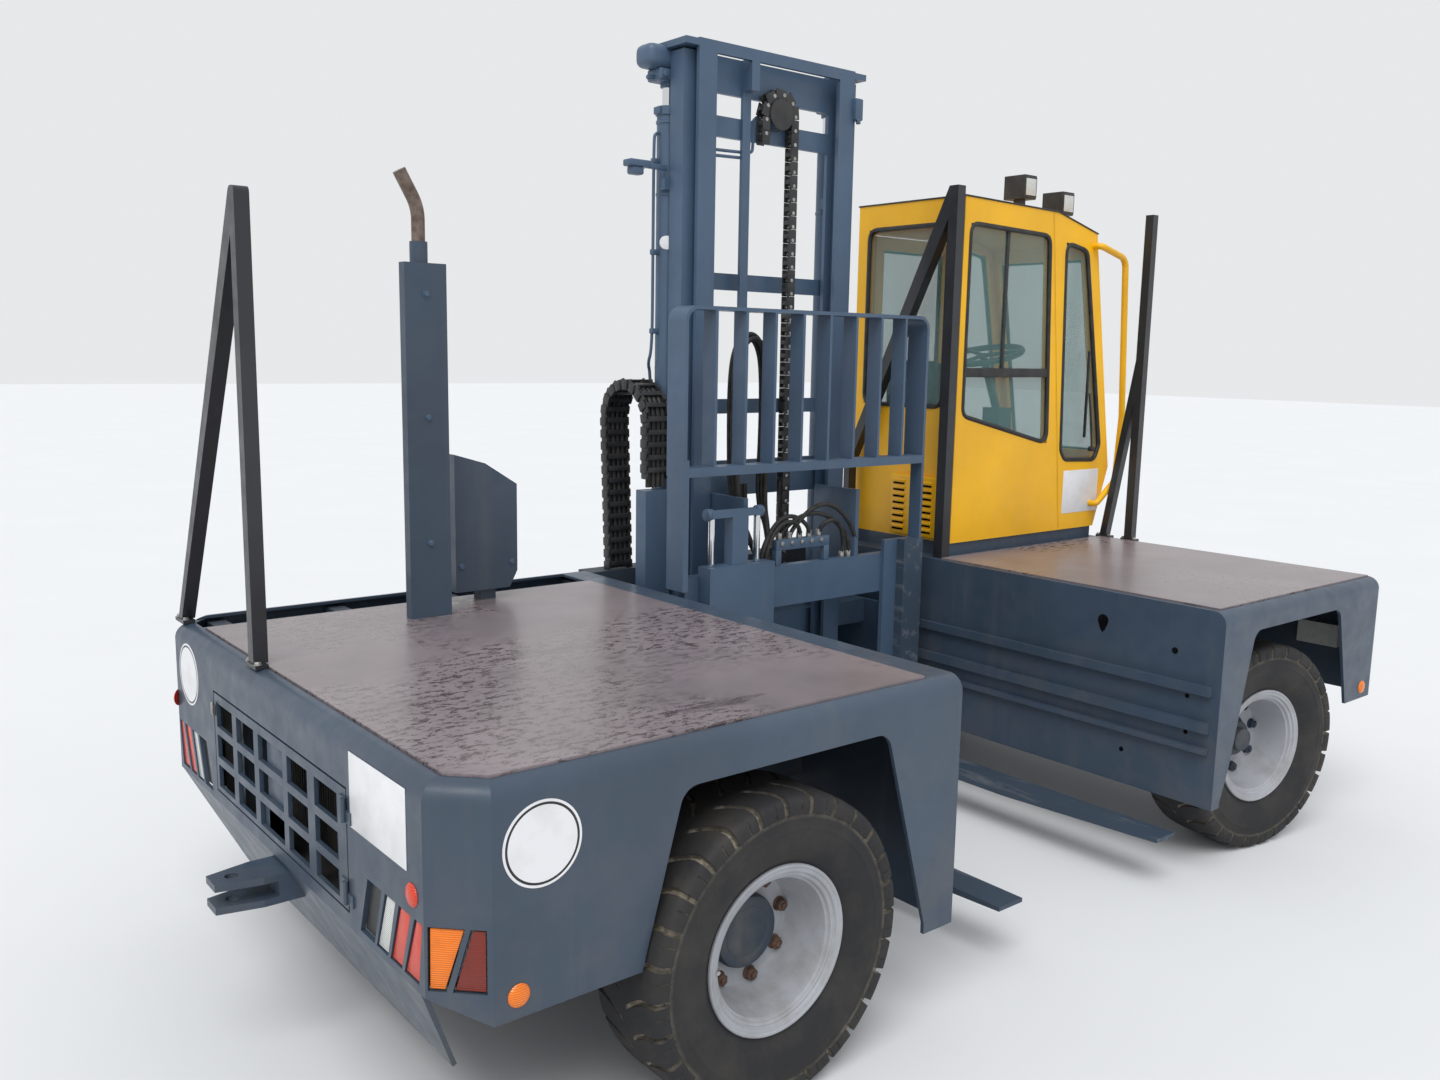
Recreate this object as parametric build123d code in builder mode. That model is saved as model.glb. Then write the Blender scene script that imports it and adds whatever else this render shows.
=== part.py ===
"""Side loader forklift: two load decks with a well between them, a mast that
slides across the well, a cab on the front block and four wheels.

Millimetres. X points to the front, Y to the left (the load is taken from the
right), Z up. The origin is on the ground, below the middle of the machine.
"""
from build123d import *
import math
import os

os.makedirs("parts", exist_ok=True)

# Length and width of the machine
hitch_reach = 180
rear_overhang = 925
wheelbase = 2725
front_overhang = 785
handle_reach = 65
body_half_width = 1031
half_length = (hitch_reach + rear_overhang + wheelbase + front_overhang + handle_reach) / 2

# Stations along the machine
rear_face_x = hitch_reach - half_length
rear_axle_x = rear_face_x + rear_overhang
front_axle_x = rear_axle_x + wheelbase
front_end_x = front_axle_x + front_overhang
rear_block_tail = 704
well_length = 1479
well_rear_x = rear_axle_x + rear_block_tail
well_front_x = well_rear_x + well_length

# Body plates and heights
deck_z = 1041
leg_bottom_z = 283
rear_skirt_z = 494
rear_crease_z = 550
tuck_reach = 150
tuck_drop = 310
tuck_end_gap = 20
tuck_taper = 160
front_leg_z = 519
body_plate = 12
deck_plate = 10
edge_roll = 50
corner_cut = 108
front_corner_roll = 60
skin_gap = 1
running_gap = 0.3
# How far a cutting tool runs past the face that it opens
overcut = 1

# Load boards and the open slot behind the rear one
board_thickness = 30
board_proud = 6
board_margin = 46
board_corner_cut = 75
board_gap = 3
rear_board_back = 55
rear_board_front = 114
front_board_back = 30
front_board_front = 62
front_board_cab_gap = 28
slot_margin = 56
slot_width = 175
slot_lip = 30

# Wheels
tyre_radius = 420
tyre_width = 270
rim_flange_radius = 231
rim_seat_radius = 211
rim_half_width = 110
rim_lip = 11
hub_radius = 102
hub_reach = -20
rear_wheel_y = 938
front_wheel_y = 853
kingpin_y = 700
steer_rest_deg = -9.8
axle_z = tyre_radius

# Wheel arches, each measured from its axle
rear_arch_top = 925
rear_arch_back = 425
rear_arch_back_top = 304
rear_arch_front_top = 400
rear_arch_front = 580
front_arch_top = 946
front_arch_back = 487
front_arch_back_mid = 441
front_arch_back_top = 314
front_arch_front_top = 384
front_arch_front = 510
arch_roll = 55
rear_arch_knee_drop = 6
rear_arch_foot_rise = 33
front_arch_foot_rise = 21

# Inner frame
web_y = 360
web_thickness = 20
web_bottom_z = 560
bearer_width = 60
bearer_depth = 58
bearer_end_gap = 10
bearer_wall_gap = 60
rear_bearer_before_axle = 360
rear_bearer_past_axle = 60
front_bearer_front_gap = 130
web_end_gap = 20
girder_depth = 100
step_set = (420, 120)
step_z = (420, 720)

# Mast rails on the walls of the well
rail_reach = 25
rail_end_margin = 31
upper_rail_z = (720, 754)
lower_rail_z = (577, 615)
foot_rail_z = (497, 517)

# Mast
mast_middle_x = 175
mast_top_z = 3140
mast_foot_z = 300
outer_half_width = 465
inner_half_width = 420
outer_set_back = 40
outer_drop = 40
channel_depth = 85
channel_width = 70
channel_plate = 18
inner_web = 15
inner_flange_reach = 55
nest_gap = 8
slide_gap = 8
slide_back_gap = 12
slide_beam_depth = 174
slide_front_reach = 60
lift_gap = 5
lift_bore = 32
lift_wall = 13
lift_rod_radius = 25
lift_tube_top_z = 2900

# Forks, carriage and load backrest
fork_length = 1300
carriage_reach = 270
fork_top_z = 200
fork_thickness = 45
fork_width = 120
fork_shank_top_z = 1150
fork_rear_x = -135
fork_front_x = 785
fork_tip_thickness = 14
fork_taper = 700
carriage_plate = 40
beam_low_z = (920, 1090)
cheek_top_z = 1380
backrest_left_x = -500
backrest_right_x = 830
backrest_bottom_z = 1485
backrest_top_z = 2120
backrest_bar = 14
backrest_depth = 110
slat_count = 8
slat_thickness = 12
slat_depth = 75

# Cab
cab_rear_x = 1065
cab_seam_x = 1745
cab_front_low_x = 2185
cab_front_mid_x = 2290
cab_front_top_x = 2070
cab_right_y = 380
cab_left_y = body_half_width
cab_floor_z = 1100
cab_bulge_z = 1400
cab_brow_z = 2560
cab_roof_z = 2655
cab_wall = 40
cab_seam_drop = 15
glass_thickness = 6
glass_set = 14
door_gap = 8
grille_gap = 6
hinge_clearance = 1
hinge_leaf = 5

# Guards on the decks
guard_bar = 42
guard_brace = 36
cab_guard_bar = 50
brace_drop = 90
foot_plate = 12


def span_box(x, y, z, mode=Mode.ADD):
    """A box between its low and high place on each axis, in any order."""
    middle = ((x[0] + x[1]) / 2, (y[0] + y[1]) / 2, (z[0] + z[1]) / 2)
    with Locations(middle):
        Box(abs(x[1] - x[0]), abs(y[1] - y[0]), abs(z[1] - z[0]), mode=mode)


def side_prism(points, y, mode=Mode.ADD):
    """A prism across the machine from an outline in (X, Z)."""
    with BuildSketch(Plane((0, y[1], 0), x_dir=(1, 0, 0), z_dir=(0, -1, 0))) as outline:
        with BuildLine():
            Polyline(*points, close=True)
        make_face()
    extrude(outline.sketch, amount=y[1] - y[0], mode=mode)


def cross_prism(points, x, mode=Mode.ADD):
    """A prism along the machine from an outline in (Y, Z)."""
    with BuildSketch(Plane((x[0], 0, 0), x_dir=(0, 1, 0), z_dir=(1, 0, 0))) as outline:
        with BuildLine():
            Polyline(*points, close=True)
        make_face()
    extrude(outline.sketch, amount=x[1] - x[0], mode=mode)


def hinge_half(axis_xy, leaf, z, radius):
    """A hinge barrel on an upright axis and its leaf, a span in X and in Y."""
    rod((axis_xy[0], axis_xy[1], z[0]), (axis_xy[0], axis_xy[1], z[1]), radius)
    span_box(leaf[0], leaf[1], z)


def plan_prism(points, z, mode=Mode.ADD):
    """An upright prism from an outline in (X, Y)."""
    with BuildSketch(Plane.XY.offset(z[0])) as outline:
        with BuildLine():
            Polyline(*points, close=True)
        make_face()
    extrude(outline.sketch, amount=z[1] - z[0], mode=mode)


def rod(start, end, radius, mode=Mode.ADD):
    """A round bar from start to end."""
    line = Vector(*end) - Vector(*start)
    with BuildSketch(Plane(start, z_dir=line)) as section:
        Circle(radius)
    extrude(section.sketch, amount=line.length, mode=mode)


def tube_along(points, bends, radius):
    """A round tube along straight runs with a rounded bend at each corner."""
    with BuildLine() as path:
        FilletPolyline(*points, radius=bends)
    with BuildSketch(Plane(path.line @ 0, z_dir=path.line % 0)) as section:
        Circle(radius)
    sweep(section.sketch, path=path.line)


def mirrored_span(side, low, high):
    """The span from low to high on the left, or its mirror on the right."""
    return sorted((side * low, side * high))


# Places of the boards and of what carries them
board_top_z = deck_z + board_proud
board_bottom_z = board_top_z - board_thickness
under_deck_z = deck_z - deck_plate
bed_z = (under_deck_z - overcut, deck_z + overcut)
full_width = (-body_half_width - overcut, body_half_width + overcut)
board_right_y = board_margin - body_half_width
slot_y = (body_half_width - slot_margin - slot_width, body_half_width - slot_margin)
rear_board_left_y = slot_y[0] - slot_lip
front_board_left_y = cab_right_y - front_board_cab_gap
rear_board_x = (rear_face_x + rear_board_back, well_rear_x - rear_board_front)
front_board_x = (well_front_x + front_board_back, front_end_x - front_board_front)

# The mast stands against the girder, and the forks stand in front of the mast
girder_inner_y = body_half_width - girder_depth
slide_rear_y = girder_inner_y - slide_back_gap
lift_tube_radius = lift_bore + lift_wall
outer_rear_y = slide_rear_y - slide_beam_depth
lift_y = outer_rear_y + lift_gap + lift_tube_radius
outer_y = (outer_rear_y - channel_depth, outer_rear_y)
mast_y = outer_y[0] - outer_set_back
fork_face_y = mast_y - carriage_reach


def rear_plan(inset):
    """Plan outline of the rear block, moved in by a wall thickness."""
    corner = corner_cut + inset * math.tan(math.radians(22.5))
    side_y = body_half_width - inset
    return [
        (well_rear_x - inset, -side_y),
        (rear_face_x + corner, -side_y),
        (rear_face_x + inset, -body_half_width + corner),
        (rear_face_x + inset, body_half_width - corner),
        (rear_face_x + corner, side_y),
        (well_rear_x - inset, side_y),
    ]


def board_plan(grow):
    """Plan outline of the rear board, grown by a gap for its bed."""
    return [
        (rear_board_x[1] + grow, board_right_y - grow),
        (rear_board_x[0] + board_corner_cut, board_right_y - grow),
        (rear_board_x[0] - grow, board_right_y + board_corner_cut),
        (rear_board_x[0] - grow, rear_board_left_y + grow),
        (rear_board_x[1] + grow, rear_board_left_y + grow),
    ]


# Rear block: an open shell with arches, grille opening, lamp slots and bed
with BuildPart() as rear_hollow:
    plan_prism(rear_plan(body_plate), (leg_bottom_z, under_deck_z))
    top = rear_hollow.faces().sort_by(Axis.Z)[-1]
    rolled = [e for e in top.edges() if e.center().X < well_rear_x - body_plate - overcut]
    fillet(rolled, edge_roll - body_plate)

rear_arch = [
    (rear_axle_x - rear_arch_back, leg_bottom_z - overcut),
    (rear_axle_x - rear_arch_back, rear_skirt_z - rear_arch_knee_drop),
    (rear_axle_x - rear_arch_back_top, rear_arch_top),
    (rear_axle_x + rear_arch_front_top, rear_arch_top),
    (rear_axle_x + rear_arch_front, leg_bottom_z + rear_arch_foot_rise),
    (rear_axle_x + rear_arch_front, leg_bottom_z - overcut),
]
with BuildPart() as rear_arch_tool:
    side_prism(rear_arch, full_width)
    fillet(rear_arch_tool.edges().filter_by(Axis.Y).group_by(Axis.Z)[-1], arch_roll)

skirt_cut = [
    (rear_face_x - overcut, leg_bottom_z - overcut),
    (rear_face_x - overcut, rear_crease_z),
    (rear_face_x + corner_cut, rear_skirt_z),
    (rear_axle_x - rear_arch_back + overcut, rear_skirt_z),
    (rear_axle_x - rear_arch_back + overcut, leg_bottom_z - overcut),
]
grille_y = (-510, 530)
grille_z = (585, 905)
# Hinges of the grille, just outside the wall in the middle of the door's gap
grille_hinge_radius = 7
grille_hinge = (rear_face_x - grille_hinge_radius - hinge_clearance, grille_y[0] + grille_gap / 2)
grille_hinge_z = (640, 850)
grille_leaf_width = 35
hinge_half_height = 30
rear_wall_x = (rear_face_x - overcut, rear_face_x + body_plate + overcut)
# Lamp slots, as distance in from the cut corner: both ends of the top edge, then of the bottom one
corner_y = body_half_width - corner_cut
lamp_top_z = 716
lamp_bottom_z = 568
lamp_slots = (
    (299, 219, 349, 267),
    (201, 145, 255, 192),
    (127, 66, 179, 117),
    (47, 8, 104, 29),
)
# Corner lamp slots, as distance along the cut corner, in the same order
corner_slots = (
    (8, 92, 6, 48),
    (104, 140, 62, 140),
)

with BuildPart() as rear_body:
    plan_prism(rear_plan(0), (leg_bottom_z, deck_z))
    top = rear_body.faces().sort_by(Axis.Z)[-1]
    rolled = [e for e in top.edges() if e.center().X < well_rear_x - overcut]
    fillet(rolled, edge_roll)
    add(rear_hollow.part, mode=Mode.SUBTRACT)
    side_prism(skirt_cut, full_width, Mode.SUBTRACT)
    add(rear_arch_tool.part, mode=Mode.SUBTRACT)
    plan_prism(board_plan(board_gap), bed_z, Mode.SUBTRACT)
    span_box((rear_board_x[0], rear_board_x[1]), slot_y, bed_z, Mode.SUBTRACT)
    span_box(rear_wall_x, grille_y, grille_z, Mode.SUBTRACT)
    for side in (-1, 1):
        for top_start, top_end, start, end in lamp_slots:
            slot = [
                (side * (corner_y - top_start), lamp_top_z),
                (side * (corner_y - top_end), lamp_top_z),
                (side * (corner_y - end), lamp_bottom_z),
                (side * (corner_y - start), lamp_bottom_z),
            ]
            cross_prism(slot, rear_wall_x, Mode.SUBTRACT)
        # The cut corner's own plane, its x running forward from the rear face
        corner = (rear_face_x, side * corner_y, 0)
        corner_plane = Plane(corner, x_dir=(1, side, 0), z_dir=(side, -1, 0))
        for top_start, top_end, start, end in corner_slots:
            with BuildSketch(corner_plane) as slot:
                with BuildLine():
                    Polyline(
                        (top_start, lamp_top_z),
                        (top_end, lamp_top_z),
                        (end, lamp_bottom_z),
                        (start, lamp_bottom_z),
                        close=True,
                    )
                make_face()
            extrude(slot.sketch, amount=2 * body_plate, both=True, mode=Mode.SUBTRACT)
    # Panel that turns under from the crease, narrower at its foot
    tuck_half = corner_y - tuck_end_gap
    tuck_foot_half = tuck_half - tuck_taper
    tuck_length = math.hypot(tuck_reach, tuck_drop)
    crease = (rear_face_x, 0, rear_crease_z)
    with BuildSketch(Plane(crease, x_dir=(0, 1, 0), z_dir=(tuck_drop, 0, tuck_reach))) as tuck:
        with BuildLine():
            Polyline(
                (-tuck_half, 0),
                (tuck_half, 0),
                (tuck_foot_half, -tuck_length),
                (-tuck_foot_half, -tuck_length),
                close=True,
            )
        make_face()
    extrude(tuck.sketch, amount=body_plate)
    grille_leaf_x = (rear_face_x - hinge_leaf, rear_face_x)
    for z in grille_hinge_z:
        leaf_y = (grille_hinge[1] - grille_leaf_width, grille_hinge[1] - hinge_clearance)
        hinge_half(grille_hinge, (grille_leaf_x, leaf_y), (z - hinge_half_height, z), grille_hinge_radius)

# Front block: an open shell with its arches and its board bed
with BuildPart() as front_hollow:
    hollow_x = (well_front_x + body_plate, front_end_x - body_plate)
    hollow_y = body_half_width - body_plate
    span_box(hollow_x, (-hollow_y, hollow_y), (leg_bottom_z, under_deck_z))
    corners = front_hollow.edges().filter_by(Axis.Z).group_by(Axis.X)[-1]
    fillet(corners, front_corner_roll - body_plate)
    top = front_hollow.faces().sort_by(Axis.Z)[-1]
    rolled = [e for e in top.edges() if e.center().X > well_front_x + body_plate + overcut]
    fillet(rolled, edge_roll - body_plate)

front_arch = [
    (front_axle_x - front_arch_back, leg_bottom_z - overcut),
    (front_axle_x - front_arch_back, leg_bottom_z + front_arch_foot_rise),
    (front_axle_x - front_arch_back_mid, axle_z),
    (front_axle_x - front_arch_back_top, front_arch_top),
    (front_axle_x + front_arch_front_top, front_arch_top),
    (front_axle_x + front_arch_front, front_leg_z),
    (front_end_x + overcut, front_leg_z),
    (front_end_x + overcut, leg_bottom_z - overcut),
]
with BuildPart() as front_arch_tool:
    side_prism(front_arch, full_width)
    fillet(front_arch_tool.edges().filter_by(Axis.Y).group_by(Axis.Z)[-1], arch_roll)

head_lamp_margin = 151
head_lamp_width = 180
head_lamp_z = (700, 800)
head_lamp_y = (body_half_width - head_lamp_margin - head_lamp_width, body_half_width - head_lamp_margin)
with BuildPart() as front_body:
    span_box((well_front_x, front_end_x), (-body_half_width, body_half_width), (leg_bottom_z, deck_z))
    corners = front_body.edges().filter_by(Axis.Z).group_by(Axis.X)[-1]
    fillet(corners, front_corner_roll)
    top = front_body.faces().sort_by(Axis.Z)[-1]
    rolled = [e for e in top.edges() if e.center().X > well_front_x + overcut]
    fillet(rolled, edge_roll)
    add(front_hollow.part, mode=Mode.SUBTRACT)
    add(front_arch_tool.part, mode=Mode.SUBTRACT)
    front_bed_x = (front_board_x[0] - board_gap, front_board_x[1] + board_gap)
    front_bed_y = (board_right_y - board_gap, front_board_left_y + board_gap)
    span_box(front_bed_x, front_bed_y, bed_z, Mode.SUBTRACT)
    front_wall_x = (front_end_x - body_plate - overcut, front_end_x + overcut)
    for side in (-1, 1):
        span_box(front_wall_x, mirrored_span(side, *head_lamp_y), head_lamp_z, Mode.SUBTRACT)

# Load boards
with BuildPart() as rear_deck_board:
    plan_prism(board_plan(0), (board_bottom_z, board_top_z))

with BuildPart() as front_deck_board:
    span_box(front_board_x, (board_right_y, front_board_left_y), (board_bottom_z, board_top_z))

# Webs along each block and bearers under its deck
bearer_y = body_half_width - body_plate - bearer_end_gap
bearer_z = (board_bottom_z - bearer_depth, board_bottom_z)
rear_inner_x = (rear_face_x + body_plate, well_rear_x - body_plate)
front_inner_x = (well_front_x + body_plate, front_end_x - body_plate)
rear_bearer_x = (
    rear_inner_x[0] + corner_cut + bearer_width / 2,
    rear_axle_x - rear_bearer_before_axle,
    rear_axle_x + rear_bearer_past_axle,
    rear_inner_x[1] - bearer_wall_gap,
)
front_bearer_x = (
    front_inner_x[0] + bearer_wall_gap,
    front_axle_x,
    front_inner_x[1] - front_bearer_front_gap,
)
frames = {}
for name, inner_x, bearer_places in (
    ("rear_frame", rear_inner_x, rear_bearer_x),
    ("front_frame", front_inner_x, front_bearer_x),
):
    with BuildPart() as frame:
        for side in (-1, 1):
            web_x = (max(inner_x[0], rear_inner_x[0] + web_end_gap), inner_x[1])
            span_box(web_x, mirrored_span(side, web_y, web_y + web_thickness), (web_bottom_z, bearer_z[0]))
        for x in bearer_places:
            span_box((x - bearer_width / 2, x + bearer_width / 2), (-bearer_y, bearer_y), bearer_z)
    frames[name] = frame

# Girder along the left side of the well: an open channel with two foot holes
step_x = (well_front_x - step_set[0], well_front_x - step_set[1])
with BuildPart() as side_girder:
    span_box((well_rear_x, well_front_x), (girder_inner_y, body_half_width), (leg_bottom_z, deck_z))
    channel_x = (well_rear_x + body_plate, well_front_x - body_plate)
    channel_y = (girder_inner_y + body_plate, body_half_width + overcut)
    channel_z = (leg_bottom_z + body_plate, deck_z - body_plate)
    span_box(channel_x, channel_y, channel_z, Mode.SUBTRACT)
    for z in step_z:
        span_box(step_x, (girder_inner_y, body_half_width), (z, z + body_plate))
    for x in step_x:
        span_box((x - body_plate, x), (girder_inner_y, body_half_width), (leg_bottom_z, deck_z))

rail_end_y = rail_end_margin - body_half_width
with BuildPart() as mast_rails:
    for rail_z in (foot_rail_z, lower_rail_z, upper_rail_z):
        span_box((well_rear_x, well_rear_x + rail_reach), (rail_end_y, girder_inner_y), rail_z)
        span_box((well_front_x - rail_reach, well_front_x), (rail_end_y, girder_inner_y), rail_z)

# Engine and, behind the grille, the radiator, both between the webs
engine_clearance = 15
engine_before_axle = 560
engine_past_axle = 150
engine_foot_rise = 40
radiator_set = 130
radiator_thickness = 100
radiator_foot_rise = 20
engine_top_z = bearer_z[0] - engine_clearance
with BuildPart() as engine_block:
    engine_x = (rear_axle_x - engine_before_axle, rear_axle_x + engine_past_axle)
    span_box(engine_x, (-web_y, web_y), (web_bottom_z + engine_foot_rise, engine_top_z))
    radiator_x = rear_inner_x[0] + radiator_set
    radiator_span = (radiator_x, radiator_x + radiator_thickness)
    span_box(radiator_span, (-web_y, web_y), (web_bottom_z + radiator_foot_rise, engine_top_z))

# Axles
axle_tube_radius = 75
axle_end_radius = 60
axle_end_length = 60
axle_pad_half = 60
axle_pad_width = 100
disc_back = -66
hub_face_y = rear_wheel_y + disc_back - running_gap
drive_bulge = 170
with BuildPart() as rear_axle:
    tube_end_y = hub_face_y - axle_end_length
    rod((rear_axle_x, -tube_end_y, axle_z), (rear_axle_x, tube_end_y, axle_z), axle_tube_radius)
    rod((rear_axle_x, -hub_face_y, axle_z), (rear_axle_x, hub_face_y, axle_z), axle_end_radius)
    with Locations((rear_axle_x, 0, axle_z)):
        Sphere(drive_bulge)
    for side in (-1, 1):
        pad_x = (rear_axle_x - axle_pad_half, rear_axle_x + axle_pad_half)
        pad_y = mirrored_span(side, web_y, web_y + axle_pad_width)
        span_box(pad_x, pad_y, (axle_z, web_bottom_z))

kingpin_radius = 28
kingpin_clearance = 0.05
knuckle_half = 62
knuckle_radius = 46
spindle_radius = 44
ear_gap = 5
ear_thickness = 34
ear_half = 45
ear_root = 60
ear_past_pin = 38
beam_half = 50
beam_half_height = 60
beam_end_y = kingpin_y - 70
ear_low = knuckle_half + ear_gap
with BuildPart() as front_axle:
    beam_x = (front_axle_x - beam_half, front_axle_x + beam_half)
    span_box(beam_x, (-beam_end_y, beam_end_y), (axle_z - beam_half_height, axle_z + beam_half_height))
    pivot_x = (front_axle_x - axle_pad_half, front_axle_x + axle_pad_half)
    pivot_y = web_y + web_thickness
    span_box(pivot_x, (-pivot_y, pivot_y), (axle_z, web_bottom_z))
    for side in (-1, 1):
        ear_x = (front_axle_x - ear_half, front_axle_x + ear_half)
        for low in (axle_z - ear_low - ear_thickness, axle_z + ear_low):
            ear_y = mirrored_span(side, beam_end_y - ear_root, kingpin_y + ear_past_pin)
            span_box(ear_x, ear_y, (low, low + ear_thickness))
        end_y = mirrored_span(side, beam_end_y - ear_root, beam_end_y)
        span_box(ear_x, end_y, (axle_z - ear_low, axle_z + ear_low))
        pin_foot = (front_axle_x, side * kingpin_y, axle_z - ear_low - ear_thickness)
        pin_head = (front_axle_x, side * kingpin_y, axle_z + ear_low + ear_thickness)
        rod(pin_foot, pin_head, kingpin_radius)


def axle_plane(centre, out):
    """A plane through the axle: its x runs out along the axle, its y is up."""
    return Plane(centre, x_dir=out, z_dir=out.cross(Vector(0, 0, 1)))


def steered(side):
    """Outward direction of a front wheel at its steering angle at rest."""
    return Vector(0, side, 0).rotate(Axis.Z, steer_rest_deg)


wheel_places = {}
for name, side in (("right", -1), ("left", 1)):
    wheel_places["rear_" + name] = (Vector(rear_axle_x, side * rear_wheel_y, axle_z), Vector(0, side, 0))
    pin = Vector(front_axle_x, side * kingpin_y, axle_z)
    wheel_places["front_" + name] = (pin + steered(side) * (front_wheel_y - kingpin_y), steered(side))

# Half of the tyre's section as (axial, radial), from the bead over the lugs' tips
half_tyre = tyre_width / 2
bead = rim_half_width - rim_lip - skin_gap
half_section = [
    (bead, rim_seat_radius),
    (bead, rim_flange_radius + 3),
    (half_tyre - 8, rim_flange_radius + 40),
    (half_tyre, tyre_radius - 110),
    (half_tyre, tyre_radius - 65),
    (half_tyre - 14, tyre_radius - 18),
    (half_tyre - 34, tyre_radius),
]
tyre_section = half_section + [(-axial, radial) for axial, radial in reversed(half_section)]
# Rim section as (axial, radial): lips, deep dish, wheel disc and hub cap
disc_front = -50
rim_section = [
    (-rim_half_width, rim_flange_radius - 25),
    (-rim_half_width, rim_flange_radius),
    (-rim_half_width + rim_lip, rim_flange_radius),
    (-rim_half_width + rim_lip, rim_seat_radius),
    (rim_half_width - rim_lip, rim_seat_radius),
    (rim_half_width - rim_lip, rim_flange_radius),
    (rim_half_width, rim_flange_radius),
    (rim_half_width, rim_flange_radius - 22),
    (rim_half_width - 24, rim_seat_radius - 24),
    (disc_front + 46, rim_seat_radius - 34),
    (disc_front, 150),
    (disc_front, hub_radius),
    (hub_reach, hub_radius - 8),
    (hub_reach + 10, hub_radius - 30),
    (hub_reach + 10, 0),
    (disc_back, 0),
    (disc_back, 158),
    (disc_back + 30, rim_seat_radius - 26),
    (-rim_half_width + 24, rim_seat_radius - 16),
]
wheels = {}
for name, (centre, out) in wheel_places.items():
    with BuildPart() as tyre:
        with BuildSketch(axle_plane(centre, out)):
            with BuildLine():
                Polyline(*tyre_section, close=True)
            make_face()
        revolve(axis=Axis(centre, out))
    with BuildPart() as rim:
        with BuildSketch(axle_plane(centre, out)):
            with BuildLine():
                Polyline(*rim_section, close=True)
            make_face()
        revolve(axis=Axis(centre, out))
    wheels["tyre_" + name] = tyre
    wheels["rim_" + name] = rim

# Steering knuckles: a barrel on the kingpin and a spindle to the wheel disc
spindle_length = front_wheel_y - kingpin_y + disc_back - running_gap
knuckles = {}
for name, side in (("right", -1), ("left", 1)):
    pin = Vector(front_axle_x, side * kingpin_y, axle_z)
    with BuildPart() as knuckle:
        rod(pin - Vector(0, 0, knuckle_half), pin + Vector(0, 0, knuckle_half), knuckle_radius)
        rod(pin, pin + steered(side) * spindle_length, spindle_radius)
        rod(
            pin - Vector(0, 0, knuckle_half + overcut),
            pin + Vector(0, 0, knuckle_half + overcut),
            kingpin_radius + kingpin_clearance,
            Mode.SUBTRACT,
        )
    knuckles["knuckle_" + name] = knuckle

# Tow hitch on the turned-under panel: two plates with a pin hole
hitch_half_width = 65
hitch_plate = 20
hitch_low_z = 447
hitch_height = 84
hitch_nose_cut = 27
hitch_shoulder = 60
hitch_mouth_back = 20
hitch_pin_set = 55
hitch_pin_radius = 18
with BuildPart() as tow_hitch:
    hitch_x = rear_face_x - hitch_reach
    hitch_root_x = rear_face_x + tuck_reach
    hitch_top_z = hitch_low_z + hitch_height
    past_hitch = (-hitch_half_width - overcut, hitch_half_width + overcut)
    nose = [
        (hitch_x, -hitch_half_width + hitch_nose_cut),
        (hitch_x, hitch_half_width - hitch_nose_cut),
        (rear_face_x - hitch_shoulder, hitch_half_width),
        (hitch_root_x, hitch_half_width),
        (hitch_root_x, -hitch_half_width),
        (rear_face_x - hitch_shoulder, -hitch_half_width),
    ]
    plan_prism(nose, (hitch_low_z, hitch_top_z))
    mouth_x = (hitch_x - overcut, rear_face_x - hitch_mouth_back)
    mouth_z = (hitch_low_z + hitch_plate, hitch_top_z - hitch_plate)
    span_box(mouth_x, past_hitch, mouth_z, Mode.SUBTRACT)
    pin_low = (hitch_x + hitch_pin_set, 0, hitch_low_z - overcut)
    pin_high = (hitch_x + hitch_pin_set, 0, hitch_top_z + overcut)
    rod(pin_low, pin_high, hitch_pin_radius, Mode.SUBTRACT)
    # The root stops at the slant of the turned-under panel
    behind_tuck = [
        (rear_face_x, rear_crease_z),
        (hitch_root_x, rear_crease_z - tuck_drop),
        (hitch_root_x + overcut, rear_crease_z - tuck_drop),
        (hitch_root_x + overcut, rear_crease_z),
    ]
    side_prism(behind_tuck, past_hitch, Mode.SUBTRACT)

# Grille door: a plate with its openings in columns (low and high Y) and rows
grille_columns = ((356, 504), (166, 318), (-66, 128), (-248, -100), (-449, -297))
grille_rows = ((606, 676), (700, 772), (796, 872))
with BuildPart() as grille_door:
    door_y = (grille_y[0] + grille_gap, grille_y[1] - grille_gap)
    grille_door_z = (grille_z[0] + grille_gap, grille_z[1] - grille_gap)
    span_box((rear_face_x, rear_face_x + body_plate), door_y, grille_door_z)
    for column in grille_columns:
        for row in grille_rows:
            span_box(rear_wall_x, column, row, Mode.SUBTRACT)
    for z in grille_hinge_z:
        leaf_y = (grille_hinge[1] + hinge_clearance, grille_hinge[1] + grille_leaf_width)
        barrel_z = (z + running_gap, z + hinge_half_height)
        hinge_half(grille_hinge, (grille_leaf_x, leaf_y), barrel_z, grille_hinge_radius)

# Lamps behind the slots of the rear corners and in the front wall
lamp_depth = 50
lamp_clearance = 4
lamp_inner_set = 343
with BuildPart() as rear_lamps:
    for side in (-1, 1):
        lamp_inner_y = corner_y - lamp_inner_set
        lamp_outer_y = corner_y - body_plate
        lamp_back_x = rear_face_x + body_plate
        lamp_plan = [
            (lamp_back_x, side * lamp_inner_y),
            (lamp_back_x, side * lamp_outer_y),
            (lamp_back_x + lamp_depth, side * (lamp_outer_y + lamp_depth)),
            (lamp_back_x + lamp_depth, side * lamp_inner_y),
        ]
        plan_prism(lamp_plan, (lamp_bottom_z + lamp_clearance, lamp_top_z - lamp_clearance))
with BuildPart() as head_lamps:
    for side in (-1, 1):
        span_box((front_end_x - lamp_depth, front_end_x), mirrored_span(side, *head_lamp_y), head_lamp_z)

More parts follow.
